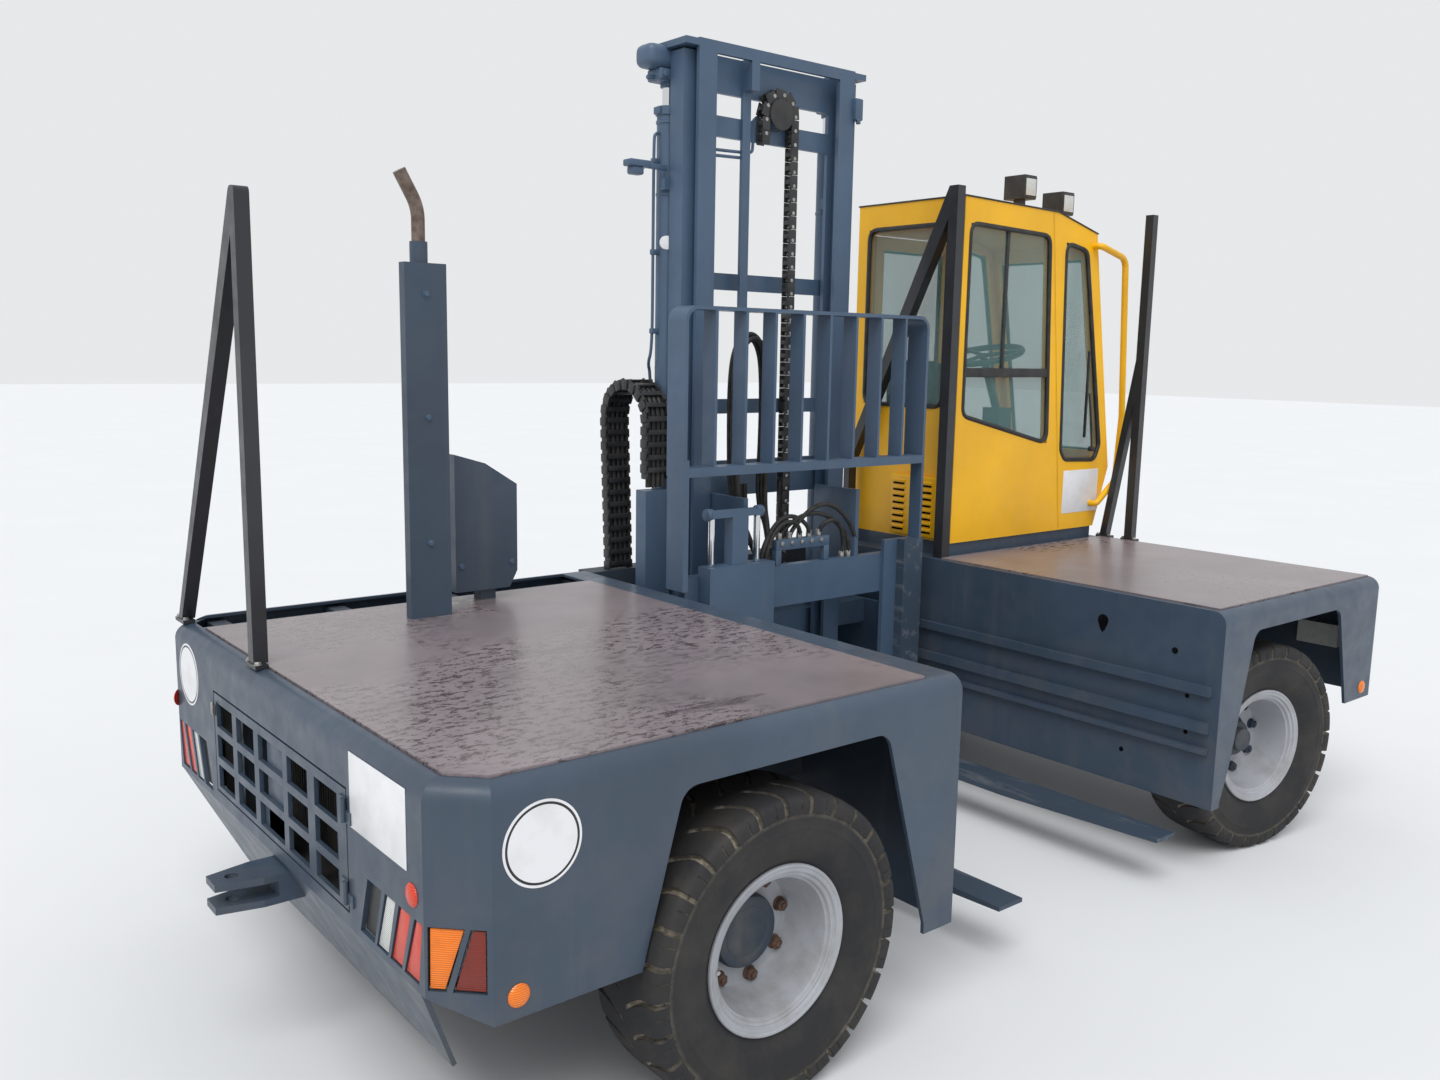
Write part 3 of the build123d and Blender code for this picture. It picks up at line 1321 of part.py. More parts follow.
# Fork positioner: the block that carries the rear fork, its post and rods
block_x = (-375, -45)
block_proud = 10
yoke_x = (-356, -103)
yoke_z = (1320, 1345)
yoke_inset = (15, 10)
block_post_x = (-255, -175)
block_rod_x = (-345, -115)
block_rod_inset = 35
block_rod_radius = 12
with BuildPart() as fork_positioner:
    block_y = (fork_face_y - block_proud, beam_y[0])
    span_box(block_x, block_y, block_z)
    yoke_y = (block_y[0] + yoke_inset[0], block_y[1] - yoke_inset[1])
    span_box(block_post_x, yoke_y, (block_z[1], yoke_z[0]))
    span_box(yoke_x, yoke_y, yoke_z)
    rod_y = block_y[0] + block_rod_inset
    for x in block_rod_x:
        rod((x, rod_y, block_z[1]), (x, rod_y, yoke_z[0]), block_rod_radius)

# Load backrest: a bent flat bar, its posts and slats set on edge
post_plate = 25
left_post_x = (backrest_left_x, backrest_left_x + post_plate)
left_post_z = (1050, 1550)
backrest_y = (fork_face_y, fork_face_y + backrest_depth)
slat_y = (fork_face_y, fork_face_y + slat_depth)
bend_radius = 60
foot_bar_height = 35
with BuildPart() as backrest:
    with BuildSketch(Plane((0, backrest_y[1], 0), x_dir=(1, 0, 0), z_dir=(0, -1, 0))) as loop:
        with BuildLine():
            FilletPolyline(
                (backrest_left_x, backrest_bottom_z),
                (backrest_left_x, backrest_top_z),
                (backrest_right_x, backrest_top_z),
                (backrest_right_x, backrest_bottom_z),
                radius=bend_radius,
            )
            Line(
                (backrest_right_x, backrest_bottom_z),
                (backrest_right_x - backrest_bar, backrest_bottom_z),
            )
            FilletPolyline(
                (backrest_right_x - backrest_bar, backrest_bottom_z),
                (backrest_right_x - backrest_bar, backrest_top_z - backrest_bar),
                (backrest_left_x + backrest_bar, backrest_top_z - backrest_bar),
                (backrest_left_x + backrest_bar, backrest_bottom_z),
                radius=bend_radius - backrest_bar,
            )
            Line((backrest_left_x + backrest_bar, backrest_bottom_z), (backrest_left_x, backrest_bottom_z))
        make_face()
    extrude(amount=backrest_depth)
    foot_bar_z = (backrest_bottom_z, backrest_bottom_z + foot_bar_height)
    span_box((backrest_left_x, backrest_right_x), slat_y, foot_bar_z)
    slat_pitch = (backrest_right_x - backrest_left_x) / (slat_count + 1)
    for place in range(slat_count):
        x = backrest_left_x + slat_pitch * (place + 1)
        slat_z = (backrest_bottom_z, backrest_top_z - backrest_bar)
        span_box((x - slat_thickness / 2, x + slat_thickness / 2), slat_y, slat_z)
    # Posts: the left one hangs on the beam's end, the right one stands on the hanger
    post_plan_y = (fork_face_y, beam_y[0])
    span_box(left_post_x, (fork_face_y, beam_y[1]), left_post_z)
    span_box((left_post_x[0], beam_span[0]), beam_y, (left_post_z[0], beam_low_z[1]))
    right_post_x = (backrest_right_x - backrest_bar, backrest_right_x)
    span_box(right_post_x, post_plan_y, (hanger_z[1], backrest_bottom_z))

# Valve block and hoses on the carriage
valve_x = (30, 330)
valve_z = (1150, 1200)
valve_depth = 40
valve_foot_width = 30
hose_radius = 13
hose_y = beam_y[0] + valve_depth / 2
hose_middle_x = (valve_x[0] + valve_x[1]) / 2
hose_reaches = (50, 90, 130)
hose_rise = 0.68
hose_roundness = 0.9
with BuildPart() as carriage_hoses:
    valve_y = (beam_y[0], beam_y[0] + valve_depth)
    span_box(valve_x, valve_y, valve_z)
    for x in (valve_x[0], valve_x[1] - valve_foot_width):
        span_box((x, x + valve_foot_width), valve_y, (beam_low_z[1], valve_z[0]))
    for reach in hose_reaches:
        hose_route = [
            (hose_middle_x - reach, hose_y, valve_z[1]),
            (hose_middle_x - reach, hose_y, valve_z[1] + hose_rise * reach),
            (hose_middle_x + reach, hose_y, valve_z[1] + hose_rise * reach),
            (hose_middle_x + reach, hose_y, valve_z[1]),
        ]
        tube_along(hose_route, hose_roundness * hose_rise * reach, hose_radius)

finished = {
    "rear_body": rear_body,
    "front_body": front_body,
    "rear_deck_board": rear_deck_board,
    "front_deck_board": front_deck_board,
    "side_girder": side_girder,
    "mast_rails": mast_rails,
    "engine_block": engine_block,
    "rear_axle": rear_axle,
    "front_axle": front_axle,
    "tow_hitch": tow_hitch,
    "grille_door": grille_door,
    "rear_lamps": rear_lamps,
    "head_lamps": head_lamps,
    "rear_guard": rear_guard,
    "cab_guard": cab_guard,
    "front_guard": front_guard,
    "exhaust": exhaust,
    "air_filter": air_filter,
    "cab_shell": cab_shell,
    "cab_plinth": cab_plinth,
    "cab_glass": cab_glass,
    "cab_door": cab_door,
    "cab_door_glass": cab_door_glass,
    "driver_seat": driver_seat,
    "steering_column": steering_column,
    "work_lamps": work_lamps,
    "grab_handle": grab_handle,
    "hose_chain": hose_chain,
    "mast_slide": mast_slide,
    "mast_outer": mast_outer,
    "mast_inner": mast_inner,
    "lift_rods": lift_rods,
    "mast_hoses": mast_hoses,
    "mast_pulley": mast_pulley,
    "forks": forks,
    "fork_carriage": fork_carriage,
    "fork_positioner": fork_positioner,
    "backrest": backrest,
    "carriage_hoses": carriage_hoses,
    **frames,
    **knuckles,
    **wheels,
}
for name, piece in finished.items():
    piece.part.label = name
    export_step(piece.part, f"parts/{name}.step")
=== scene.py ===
"""Side loader forklift: paints, tyres, cab trim, hoses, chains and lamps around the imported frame.

Metres, in the frame's own axes: X to the front, Y to the left, Z up, the ground at 0.
"""
import math

import bpy
from mathutils import Matrix, Vector


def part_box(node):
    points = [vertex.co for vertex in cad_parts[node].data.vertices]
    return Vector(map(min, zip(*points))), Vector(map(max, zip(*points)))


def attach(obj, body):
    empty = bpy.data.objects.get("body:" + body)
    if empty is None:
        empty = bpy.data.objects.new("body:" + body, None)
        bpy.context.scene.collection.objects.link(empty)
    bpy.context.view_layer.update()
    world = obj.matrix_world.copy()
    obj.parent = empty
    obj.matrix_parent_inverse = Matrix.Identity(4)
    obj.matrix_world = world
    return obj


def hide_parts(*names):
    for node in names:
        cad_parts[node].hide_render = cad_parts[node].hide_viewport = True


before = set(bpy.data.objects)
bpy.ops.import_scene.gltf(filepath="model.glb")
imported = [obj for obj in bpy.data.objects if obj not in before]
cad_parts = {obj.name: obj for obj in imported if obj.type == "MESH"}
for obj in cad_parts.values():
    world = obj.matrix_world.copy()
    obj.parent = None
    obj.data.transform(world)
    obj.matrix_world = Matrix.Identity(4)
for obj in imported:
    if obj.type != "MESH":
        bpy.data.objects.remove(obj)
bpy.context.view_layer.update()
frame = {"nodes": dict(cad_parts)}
nodes = frame["nodes"]

bl_info = {
    "name": "Side Loader Dressing",
    "version": (1, 0, 0),
    "blender": (4, 5, 0),
    "location": "View3D > Sidebar > Side Loader",
    "description": "Dresses the packed side loader with its paints, tyres, trim, hoses and lamps",
    "category": "Object",
}

# Places that many pieces share, in metres
REAR_FACE_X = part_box("grille_door")[0].x + 0.015
REAR_AXLE_X = -1.235
FRONT_AXLE_X = 1.490
FRONT_END_X = 2.275
WELL_FRONT_X = 0.948
SIDE_Y = 1.031
DECK_Z = 1.041
AXLE_Z = 0.420
REAR_WHEEL_Y = 0.938
FRONT_WHEEL_Y = 0.853
KINGPIN_Y = 0.700
STEER_REST = math.radians(-9.8)
CAB_RIGHT_Y = 0.380
CAB_REAR_X = 1.065
MAST_MIDDLE_X = 0.175
LIFT_SET = 0.437
LIFT_Y = 0.795
SIDES = ((-1, "right"), (1, "left"))


def length(name, default, description):
    """A size in metres that the sidebar shows."""
    return bpy.props.FloatProperty(
        name=name, description=description, default=default, min=0.0, unit="LENGTH", precision=4)


def count(name, default, description):
    """A whole number that the sidebar shows."""
    return bpy.props.IntProperty(name=name, description=description, default=default, min=1)


def colour(name, default, description):
    """A paint or rubber colour that the sidebar shows."""
    return bpy.props.FloatVectorProperty(
        name=name, description=description, default=default, min=0.0, max=1.0, size=3, subtype="COLOR")


class LoaderColours(bpy.types.PropertyGroup):
    """Colours of the paints, the rubber and the lamps."""

    body: colour("Body", (0.040, 0.062, 0.095), "Slate-grey paint of the decks and the mast")
    frame: colour("Frame", (0.034, 0.048, 0.066), "Dirty paint of the inner frame and the axles")
    guard: colour("Guards", (0.017, 0.018, 0.022), "Near-black paint of the guards")
    # The boards' colour is their mauve-brown coating set lighter, partly a painted reflection of the
    # sky
    board: colour("Boards", (0.205, 0.168, 0.176), "Mauve-brown coating of the load boards")
    board_wet: colour("Boards, wet", (0.052, 0.030, 0.028), "Dark wet patches on the load boards")
    cab: colour("Cab", (0.900, 0.455, 0.000), "Warm yellow paint of the cab")
    rim: colour("Rims", (0.350, 0.360, 0.385), "Silver-grey paint of the rims")
    rubber: colour("Rubber", (0.019, 0.019, 0.021), "Rubber of the tyres")
    dirt: colour("Dirt", (0.330, 0.290, 0.220), "Dry dirt in grooves and corners")
    rust: colour("Rust", (0.110, 0.062, 0.042), "Rust on the nuts and the exhaust pipe")
    steel: colour("Steel", (0.190, 0.200, 0.215), "Worn steel of the forks")
    glass: colour("Glass", (0.105, 0.225, 0.220), "Greenish tint of the panes")
    red: colour("Red lens", (0.700, 0.045, 0.010), "Red lamp lenses and reflectors")
    amber: colour("Amber lens", (0.900, 0.200, 0.005), "Amber lamp lenses and markers")
    white: colour("Signs", (0.780, 0.780, 0.790), "White of the blank signs and plates")


class LoaderWheels(bpy.types.PropertyGroup):
    """Sizes of the tyres, rims and nuts."""

    lugs: count("Lugs", 28, "Lugs on each side of a tyre")
    groove: length("Groove width", 0.0175, "Width of the grooves between the lugs")
    nuts: count("Nuts", 8, "Wheel nuts on each rim")
    nut_circle: length("Nut circle", 0.1400, "Radius of the circle that the nuts stand on")
    drum: length("Hub drum", 0.0990, "Radius of the rear hub drums")


class LoaderTrim(bpy.types.PropertyGroup):
    """Sizes of the rubber seals, signs, links and hoses."""

    seal: length("Seal", 0.011, "Half width of the rubber round the panes")
    corner: length("Pane corner", 0.050, "Radius of the panes' corners")
    disc: length("Disc", 0.100, "Radius of the round signs")
    link_pitch: length("Hose chain pitch", 0.050, "Length of one link of the hose chain")
    chain_pitch: length("Mast chain pitch", 0.0550, "Length of one link of the mast's hose chain")
    bolt: length("Bolt head", 0.009, "Radius of the bolt heads")


class LoaderStage(bpy.types.PropertyGroup):
    """Floor, light and background."""

    floor: colour("Floor", (0.720, 0.725, 0.730), "Pale floor")
    sky: bpy.props.FloatProperty(
        name="Sky light", description="Strength of the soft light all round", default=0.84, min=0.0)
    lamp: bpy.props.FloatProperty(
        name="Lamp", description="Strength of the broad lamp above", default=1.75, min=0.0)


def group(name):
    """One group of settings on the scene."""
    return getattr(bpy.context.scene, "loader_" + name)


# Tools for making pieces


def clear_selection():
    """Nothing stays selected, so that the next operator acts on its own piece only."""
    bpy.ops.object.select_all(action="DESELECT")


def take(piece):
    """Selects one piece and makes it active."""
    clear_selection()
    piece.select_set(True)
    bpy.context.view_layer.objects.active = piece


def edit(piece, choose=None):
    """Opens a piece for editing with the faces picked by choose(centre, normal), or all of it."""
    take(piece)
    bpy.ops.object.mode_set(mode="EDIT")
    bpy.ops.mesh.select_mode(type="FACE")
    bpy.ops.mesh.select_all(action="SELECT" if choose is None else "DESELECT")
    if choose is not None:
        bpy.ops.object.mode_set(mode="OBJECT")
        for face in piece.data.polygons:
            face.select = choose(face.center, face.normal)
        bpy.ops.object.mode_set(mode="EDIT")


def close(piece):
    """Leaves edit mode."""
    bpy.ops.object.mode_set(mode="OBJECT")
    return piece


def apply_place(piece):
    """Puts a piece's place, turn and size into its mesh."""
    take(piece)
    bpy.ops.object.transform_apply(location=True, rotation=True, scale=True)
    return piece


def block(low, high, round_by=0.003, segments=2):
    """A block between two corners with rounded edges."""
    low = Vector(low)
    high = Vector(high)
    clear_selection()
    bpy.ops.mesh.primitive_cube_add(size=1.0, location=(low + high) / 2)
    piece = bpy.context.object
    piece.scale = high - low
    apply_place(piece)
    edit(piece)
    limit = 0.49 * min(high - low)
    bpy.ops.mesh.bevel(offset=min(round_by, limit), segments=segments, affect="EDGES")
    return close(piece)


def bar(start, end, radius, sides=24, round_by=0.0):
    """A round bar between two points, its ends rounded if asked."""
    start = Vector(start)
    end = Vector(end)
    line = end - start
    clear_selection()
    bpy.ops.mesh.primitive_cylinder_add(vertices=sides, radius=radius, depth=line.length)
    piece = bpy.context.object
    if round_by:
        edit(piece, lambda centre, normal: abs(normal.z) > 0.9)
        bpy.ops.mesh.bevel(offset=round_by, segments=2, affect="EDGES")
        close(piece)
    return placed(piece, facing((start + end) / 2, line))


def added(name, data):
    """A new object in the scene that holds a mesh, a curve, a light or a camera."""
    piece = bpy.data.objects.new(name, data)
    bpy.context.scene.collection.objects.link(piece)
    return piece


def face_outward():
    """Turns all faces of the piece that is being edited outward."""
    bpy.ops.mesh.select_all(action="SELECT")
    bpy.ops.mesh.normals_make_consistent(inside=False)


def thicken(piece, push):
    """Gives a flat piece a thickness, and leaves it in edit mode with all its faces picked."""
    edit(piece)
    bpy.ops.mesh.extrude_region_move(TRANSFORM_OT_translate={"value": push})
    face_outward()


def lathe(name, profile, steps=64):
    """A shape turned about Z from its (radius, height) points."""
    mesh = bpy.data.meshes.new(name)
    points = [(radius, 0.0, height) for radius, height in profile]
    mesh.from_pydata(points, [(i, i + 1) for i in range(len(points) - 1)], [])
    piece = added(name, mesh)
    take(piece)
    bpy.ops.object.mode_set(mode="EDIT")
    bpy.ops.mesh.select_mode(type="VERT")
    bpy.ops.mesh.select_all(action="SELECT")
    bpy.ops.mesh.spin(steps=steps, angle=math.tau, center=(0, 0, 0), axis=(0, 0, 1))
    bpy.ops.mesh.select_all(action="SELECT")
    bpy.ops.mesh.remove_doubles(threshold=1e-5)
    face_outward()
    return close(piece)


def tube(name, points, radius, closed=False, smooth=True, sides=3):
    """A round tube along a route: a smooth line, or straight runs between the points."""
    curve = bpy.data.curves.new(name, "CURVE")
    curve.dimensions = "3D"
    curve.bevel_depth = radius
    curve.bevel_resolution = sides
    curve.resolution_u = 6
    curve.use_fill_caps = not closed
    spline = curve.splines.new("NURBS" if smooth else "POLY")
    spline.points.add(len(points) - 1)
    for place, point in zip(spline.points, points):
        place.co = (*point, 1.0)
    if smooth:
        spline.order_u = 3
        spline.use_endpoint_u = not closed
    spline.use_cyclic_u = closed
    take(added(name, curve))
    bpy.ops.object.convert(target="MESH")
    return bpy.context.object


def placed(piece, place):
    """Moves a piece's mesh to its place."""
    piece.data.transform(place)
    return piece


def twin_of(pattern, place):
    """A copy of a piece with its own mesh, at its place."""
    twin = pattern.copy()
    twin.data = pattern.data.copy()
    bpy.context.scene.collection.objects.link(twin)
    return placed(twin, place)


def joined(pieces):
    """Several pieces as one."""
    if len(pieces) > 1:
        clear_selection()
        for piece in pieces:
            piece.select_set(True)
        bpy.context.view_layer.objects.active = pieces[0]
        bpy.ops.object.join()
    return pieces[0]


def repeated(pattern, places):
    """Copies of one piece, each with its own mesh at its place, as one piece."""
    copies = [twin_of(pattern, place) for place in places]
    bpy.data.objects.remove(pattern)
    return joined(copies)


def facing(point, direction, roll=0.0):
    """The place of a piece whose own Z points in a direction."""
    turn = Vector((0, 0, 1)).rotation_difference(Vector(direction).normalized())
    return Matrix.Translation(point) @ turn.to_matrix().to_4x4() @ Matrix.Rotation(roll, 4, "Z")


def coat(piece, material):
    """Gives a piece its only material."""
    piece.data.materials.clear()
    piece.data.materials.append(material)
    return piece


def fit(piece, name, body, smooth_deg=35):
    """Finishes a piece: its name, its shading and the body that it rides."""
    apply_place(piece)
    if smooth_deg:
        bpy.ops.object.shade_smooth_by_angle(angle=math.radians(smooth_deg))
    piece.name = name
    piece.data.name = name
    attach(piece, body)
    return piece


def assemble(pieces, paint, name, body, smooth_deg=35):
    """Joins pieces, paints them and fits them as one."""
    return fit(coat(joined(pieces), MATERIALS[paint]), name, body, smooth_deg)


def rounded(points, radius, steps=5):
    """A closed outline with each corner turned into an arc."""
    points = [Vector(point) for point in points]
    outline = []
    for i, corner in enumerate(points):
        before = (points[i - 1] - corner).normalized()
        after = (points[(i + 1) % len(points)] - corner).normalized()
        half = before.angle(after) / 2
        reach = radius / math.tan(half)
        start = corner + before * reach
        end = corner + after * reach
        for k in range(steps + 1):
            t = k / steps
            outline.append(start * (1 - t) ** 2 + corner * 2 * t * (1 - t) + end * t ** 2)
    return outline


# Tools for making materials


def blank(name, tint, roughness, metallic=0.0, specular=0.5, coat_weight=0.0, coat_rough=0.1):
    """A material with one shader, and its node tree."""
    material = bpy.data.materials.new(name)
    material.use_nodes = True
    shader = material.node_tree.nodes["Principled BSDF"]
    shader.inputs["Base Color"].default_value = (*tint, 1.0)
    shader.inputs["Roughness"].default_value = roughness
    shader.inputs["Metallic"].default_value = metallic
    shader.inputs["Specular IOR Level"].default_value = specular
    shader.inputs["Coat Weight"].default_value = coat_weight
    shader.inputs["Coat Roughness"].default_value = coat_rough
    return material


def node(material, kind, **inputs):
    """A new node with some of its inputs set or linked."""
    tree = material.node_tree
    made = tree.nodes.new(kind)
    for key, value in inputs.items():
        socket = made.inputs[key.replace("_", " ")]
        if isinstance(value, bpy.types.NodeSocket):
            tree.links.new(value, socket)
        else:
            socket.default_value = value
    return made


def places(material, stretch=(1.0, 1.0, 1.0)):
    """Object coordinates, stretched."""
    made = node(material, "ShaderNodeTexCoord")
    return node(material, "ShaderNodeMapping", Vector=made.outputs["Object"],
                Scale=stretch).outputs[0]


def noise(material, scale, detail=4.0, rough=0.55, stretch=(1.0, 1.0, 1.0)):
    """A noise value on Object coordinates."""
    made = node(material, "ShaderNodeTexNoise", Vector=places(material, stretch), Scale=scale,
                Detail=detail, Roughness=rough)
    return made.outputs[0]


def ramp(material, value, low, high, start=0.0, end=1.0):
    """A value spread from start to end between two limits."""
    made = node(material, "ShaderNodeMapRange", Value=value)
    made.inputs["From Min"].default_value = low
    made.inputs["From Max"].default_value = high
    made.inputs["To Min"].default_value = start
    made.inputs["To Max"].default_value = end
    return made.outputs[0]


def math_node(material, operation, a, b):
    """Two values through one operation."""
    made = node(material, "ShaderNodeMath")
    made.operation = operation
    made.use_clamp = True
    for socket, value in zip(made.inputs, (a, b)):
        if isinstance(value, bpy.types.NodeSocket):
            material.node_tree.links.new(value, socket)
        else:
            socket.default_value = value
    return made.outputs[0]


def blend(material, share, first, second):
    """Two colours mixed by a share."""
    made = node(material, "ShaderNodeMix")
    made.data_type = "RGBA"
    tree = material.node_tree
    tree.links.new(share, made.inputs["Factor"])
    for key, value in (("A", first), ("B", second)):
        sockets = [s for s in made.inputs if s.name == key and s.type == "RGBA"]
        if isinstance(value, bpy.types.NodeSocket):
            tree.links.new(value, sockets[0])
        else:
            sockets[0].default_value = (*value, 1.0)
    return [s for s in made.outputs if s.type == "RGBA"][0]


def finish_with(material, tint=None, rough=None, height=None, depth=0.001, strength=0.3):
    """Links a colour, a roughness and a bump to the shader."""
    tree = material.node_tree
    shader = tree.nodes["Principled BSDF"]
    if tint is not None:
        tree.links.new(tint, shader.inputs["Base Color"])
    if rough is not None:
        tree.links.new(rough, shader.inputs["Roughness"])
    if height is not None:
        bump = node(material, "ShaderNodeBump", Height=height, Strength=strength, Distance=depth)
        tree.links.new(bump.outputs[0], shader.inputs["Normal"])
    return material


def height_share(material, low, high):
    """1 below the low height, 0 above the high one."""
    made = node(material, "ShaderNodeSeparateXYZ", Vector=places(material))
    return ramp(material, made.outputs["Z"], low, high, 1.0, 0.0)


def shade(tint, factor):
    """A darker or lighter colour."""
    return tuple(min(1.0, part * factor) for part in tint)


def painted(name, tint, roughness, dirt=0.5, gloss=0.0, spots=True):
    """Paint with cloudy fading, dust that settles low, thin streaks, small chips and orange peel."""
    dust = group("colours").dirt
    material = blank(name, tint, roughness, coat_weight=gloss, coat_rough=0.12)
    cloud = ramp(material, noise(material, 1.7, 5.0), 0.3, 0.7)
    base = blend(material, cloud, shade(tint, 0.86), shade(tint, 1.16))
    runs = noise(material, 9.0, 6.0, 0.6, (1.0, 1.0, 0.07))
    streak = ramp(material, runs, 0.56, 0.80, 0.0, 0.40 * dirt)
    base = blend(material, streak, base, shade(dust, 0.55))
    low = height_share(material, 0.25, 1.0)
    patch = ramp(material, noise(material, 5.5, 8.0, 0.65), 0.46, 0.74)
    settled = math_node(material, "MULTIPLY", patch, ramp(material, low, 0.0, 1.0, 0.12, 0.85))
    base = blend(material, math_node(material, "MULTIPLY", settled, dirt), base, shade(dust, 0.42))
    if spots:
        chips = ramp(material, noise(material, 85.0, 3.0, 0.7), 0.735, 0.765, 0.0, 0.55)
        base = blend(material, chips, base, shade(tint, 2.1))
    rough = ramp(material, noise(material, 14.0, 6.0), 0.3, 0.7, roughness - 0.07, roughness + 0.13)
    fine = noise(material, 260.0, 2.0)
    waves = noise(material, 7.0, 2.0)
    height = math_node(material, "ADD", math_node(material, "MULTIPLY", fine, 0.25), waves)
    return finish_with(material, base, rough, height, 0.0012, 0.22)


def mottled(name, tint, roughness, cloud, limits, first, second,
            grain=None, depth=0.0, strength=0.3, **shader):
    """A material that drifts between two colours, with a fine relief if a grain is given.

    cloud and grain are a noise's scale, detail and roughness, limits are those of the ramp.
    """
    material = blank(name, tint, roughness, **shader)
    share = ramp(material, noise(material, *cloud), *limits)
    height = noise(material, *grain) if grain else None
    base = blend(material, share, first, second)
    return finish_with(material, base, None, height, depth, strength)


# The mast's paint is the decks' paint made a little lighter and bluer: painted sky light on the mast
MAST_SKY_LIGHT_SHARE = (1.44, 1.58, 1.67)
# The exhaust is a painted post up to this height, and bare pipe above it
EXHAUST_PIPE_Z = 2.2903
PANE_ALPHA = 0.31


def make_paints(tints):
    """The paints of the decks, the mast, the guards, the cab and the wheels."""
    # The mast gets a lighter, bluer copy of the deck paint, as painted sky light
    sky_lit_mast_tint = [part * share for part, share in zip(tints.body, MAST_SKY_LIGHT_SHARE)]
    return {
        "body": painted("slate_paint", tints.body, 0.42, 0.45, 0.12),
        "frame": painted("slate_paint_dirty", tints.frame, 0.60, 0.6),
        "mast": painted("mast_paint_sky_lit", sky_lit_mast_tint, 0.44, 0.35, 0.05),
        "guard": painted("guard_paint", tints.guard, 0.38, 0.25, 0.15),
        "cab": painted("cab_paint", tints.cab, 0.42, 0.12, 0.05, False),
        "rim": painted("rim_paint", tints.rim, 0.50, 0.7),
        "hub": painted("hub_paint", shade(tints.body, 0.62), 0.50, 0.8),
    }


def exhaust_finish(tints):
    """Slate paint on the exhaust's post, and rusty scale on the pipe above it."""
    stack = painted("exhaust_post", tints.body, 0.45, 0.5)
    tree = stack.node_tree
    colour_socket = tree.nodes["Principled BSDF"].inputs["Base Color"]
    paint = colour_socket.links[0].from_socket
    height = node(stack, "ShaderNodeSeparateXYZ", Vector=places(stack)).outputs["Z"]
    pipe = math_node(stack, "GREATER_THAN", height, EXHAUST_PIPE_Z)
    flakes = ramp(stack, noise(stack, 30.0, 8.0, 0.7), 0.35, 0.68)
    scale = blend(stack, flakes, shade(tints.rust, 0.6), (0.20, 0.15, 0.12))
    tree.links.new(blend(stack, pipe, paint, scale), colour_socket)
    return stack


def board_coating(tints):
    """The load boards' coating: cloudy and scuffed, with wet patches of small drops and pools."""
    # The base colour is the coating's own, raised to carry a painted reflection of the sky besides the
    # real gloss
    board = blank("deck_board", tints.board, 0.4, specular=0.6, coat_weight=0.25, coat_rough=0.22)
    cloud = ramp(board, noise(board, 2.2, 7.0, 0.6), 0.32, 0.70)
    base = blend(board, cloud, shade(tints.board, 0.80), shade(tints.board, 1.22))
    edge = ramp(board, noise(board, 1.15, 3.0), 0.42, 0.56)
    drops = ramp(board, noise(board, 42.0, 6.0, 0.78, (0.50, 1.0, 1.0)), 0.505, 0.560)
    pools = ramp(board, noise(board, 3.1, 6.0, 0.6, (0.35, 1.3, 1.0)), 0.640, 0.70)
    wet = math_node(board, "MAXIMUM", math_node(board, "MULTIPLY", edge, drops), pools)
    base = blend(board, math_node(board, "MULTIPLY", wet, 0.88), base, tints.board_wet)
    scuffs = ramp(board, noise(board, 60.0, 3.0), 0.66, 0.74, 0.0, 0.35)
    base = blend(board, scuffs, base, shade(tints.board, 1.8))
    rough = ramp(board, wet, 0.0, 1.0, 0.42, 0.22)
    return finish_with(board, base, rough, noise(board, 150.0, 4.0, 0.6), 0.0015, 0.35)


def tyre_rubber(tints):
    """Dusty rubber, with crumbs of dirt where the tyre's own attribute puts them."""
    tyre = blank("tyre_rubber", tints.rubber, 0.72, specular=0.35)
    marks = node(tyre, "ShaderNodeAttribute")
    marks.attribute_name = "dirt"
    crumbs = ramp(tyre, noise(tyre, 38.0, 6.0, 0.7), 0.30, 0.62)
    dusty = ramp(tyre, noise(tyre, 6.0, 7.0, 0.65), 0.42, 0.75, 0.0, 0.30)
    base = blend(tyre, dusty, tints.rubber, shade(tints.dirt, 0.30))
    dirt = math_node(tyre, "MULTIPLY", marks.outputs["Fac"], crumbs)
    base = blend(tyre, dirt, base, tints.dirt)
    return finish_with(tyre, base, None, noise(tyre, 120.0, 5.0, 0.7), 0.0012, 0.45)


def fork_steel(tints):
    """Slate paint that is rubbed through to the steel along the forks, with some rust."""
    forks = blank("fork_steel", tints.body, 0.46, metallic=0.15)
    rub = ramp(forks, noise(forks, 20.0, 7.0, 0.65, (1.0, 0.15, 1.0)), 0.54, 0.74)
    base = blend(forks, rub, tints.body, tints.steel)
    rusty = ramp(forks, noise(forks, 9.0, 8.0, 0.7), 0.62, 0.76, 0.0, 0.35)
    base = blend(forks, rusty, base, tints.rust)
    rough = ramp(forks, rub, 0.0, 1.0, 0.58, 0.34)
    return finish_with(forks, base, rough, noise(forks, 90.0, 4.0), 0.0008, 0.4)


def bright_chrome():
    """Chromed rod with a faint drift in its gloss."""
    chrome = blank("bright_rod", (0.72, 0.73, 0.75), 0.14, metallic=1.0)
    rough = ramp(chrome, noise(chrome, 30.0, 5.0), 0.3, 0.7, 0.08, 0.24)
    return finish_with(chrome, None, rough)


def pane_glass(tints):
    """Tinted glass with faint smears."""
    glass = blank("pane", tints.glass, 0.04, specular=0.6)
    glass.node_tree.nodes["Principled BSDF"].inputs["Alpha"].default_value = PANE_ALPHA
    cloud = ramp(glass, noise(glass, 2.0, 4.0), 0.3, 0.8)
    base = blend(glass, cloud, tints.glass, shade(tints.glass, 1.5))
    smear = ramp(glass, noise(glass, 6.0, 7.0, 0.6, (1.0, 1.0, 0.4)), 0.35, 0.8, 0.03, 0.14)
    return finish_with(glass, base, smear)


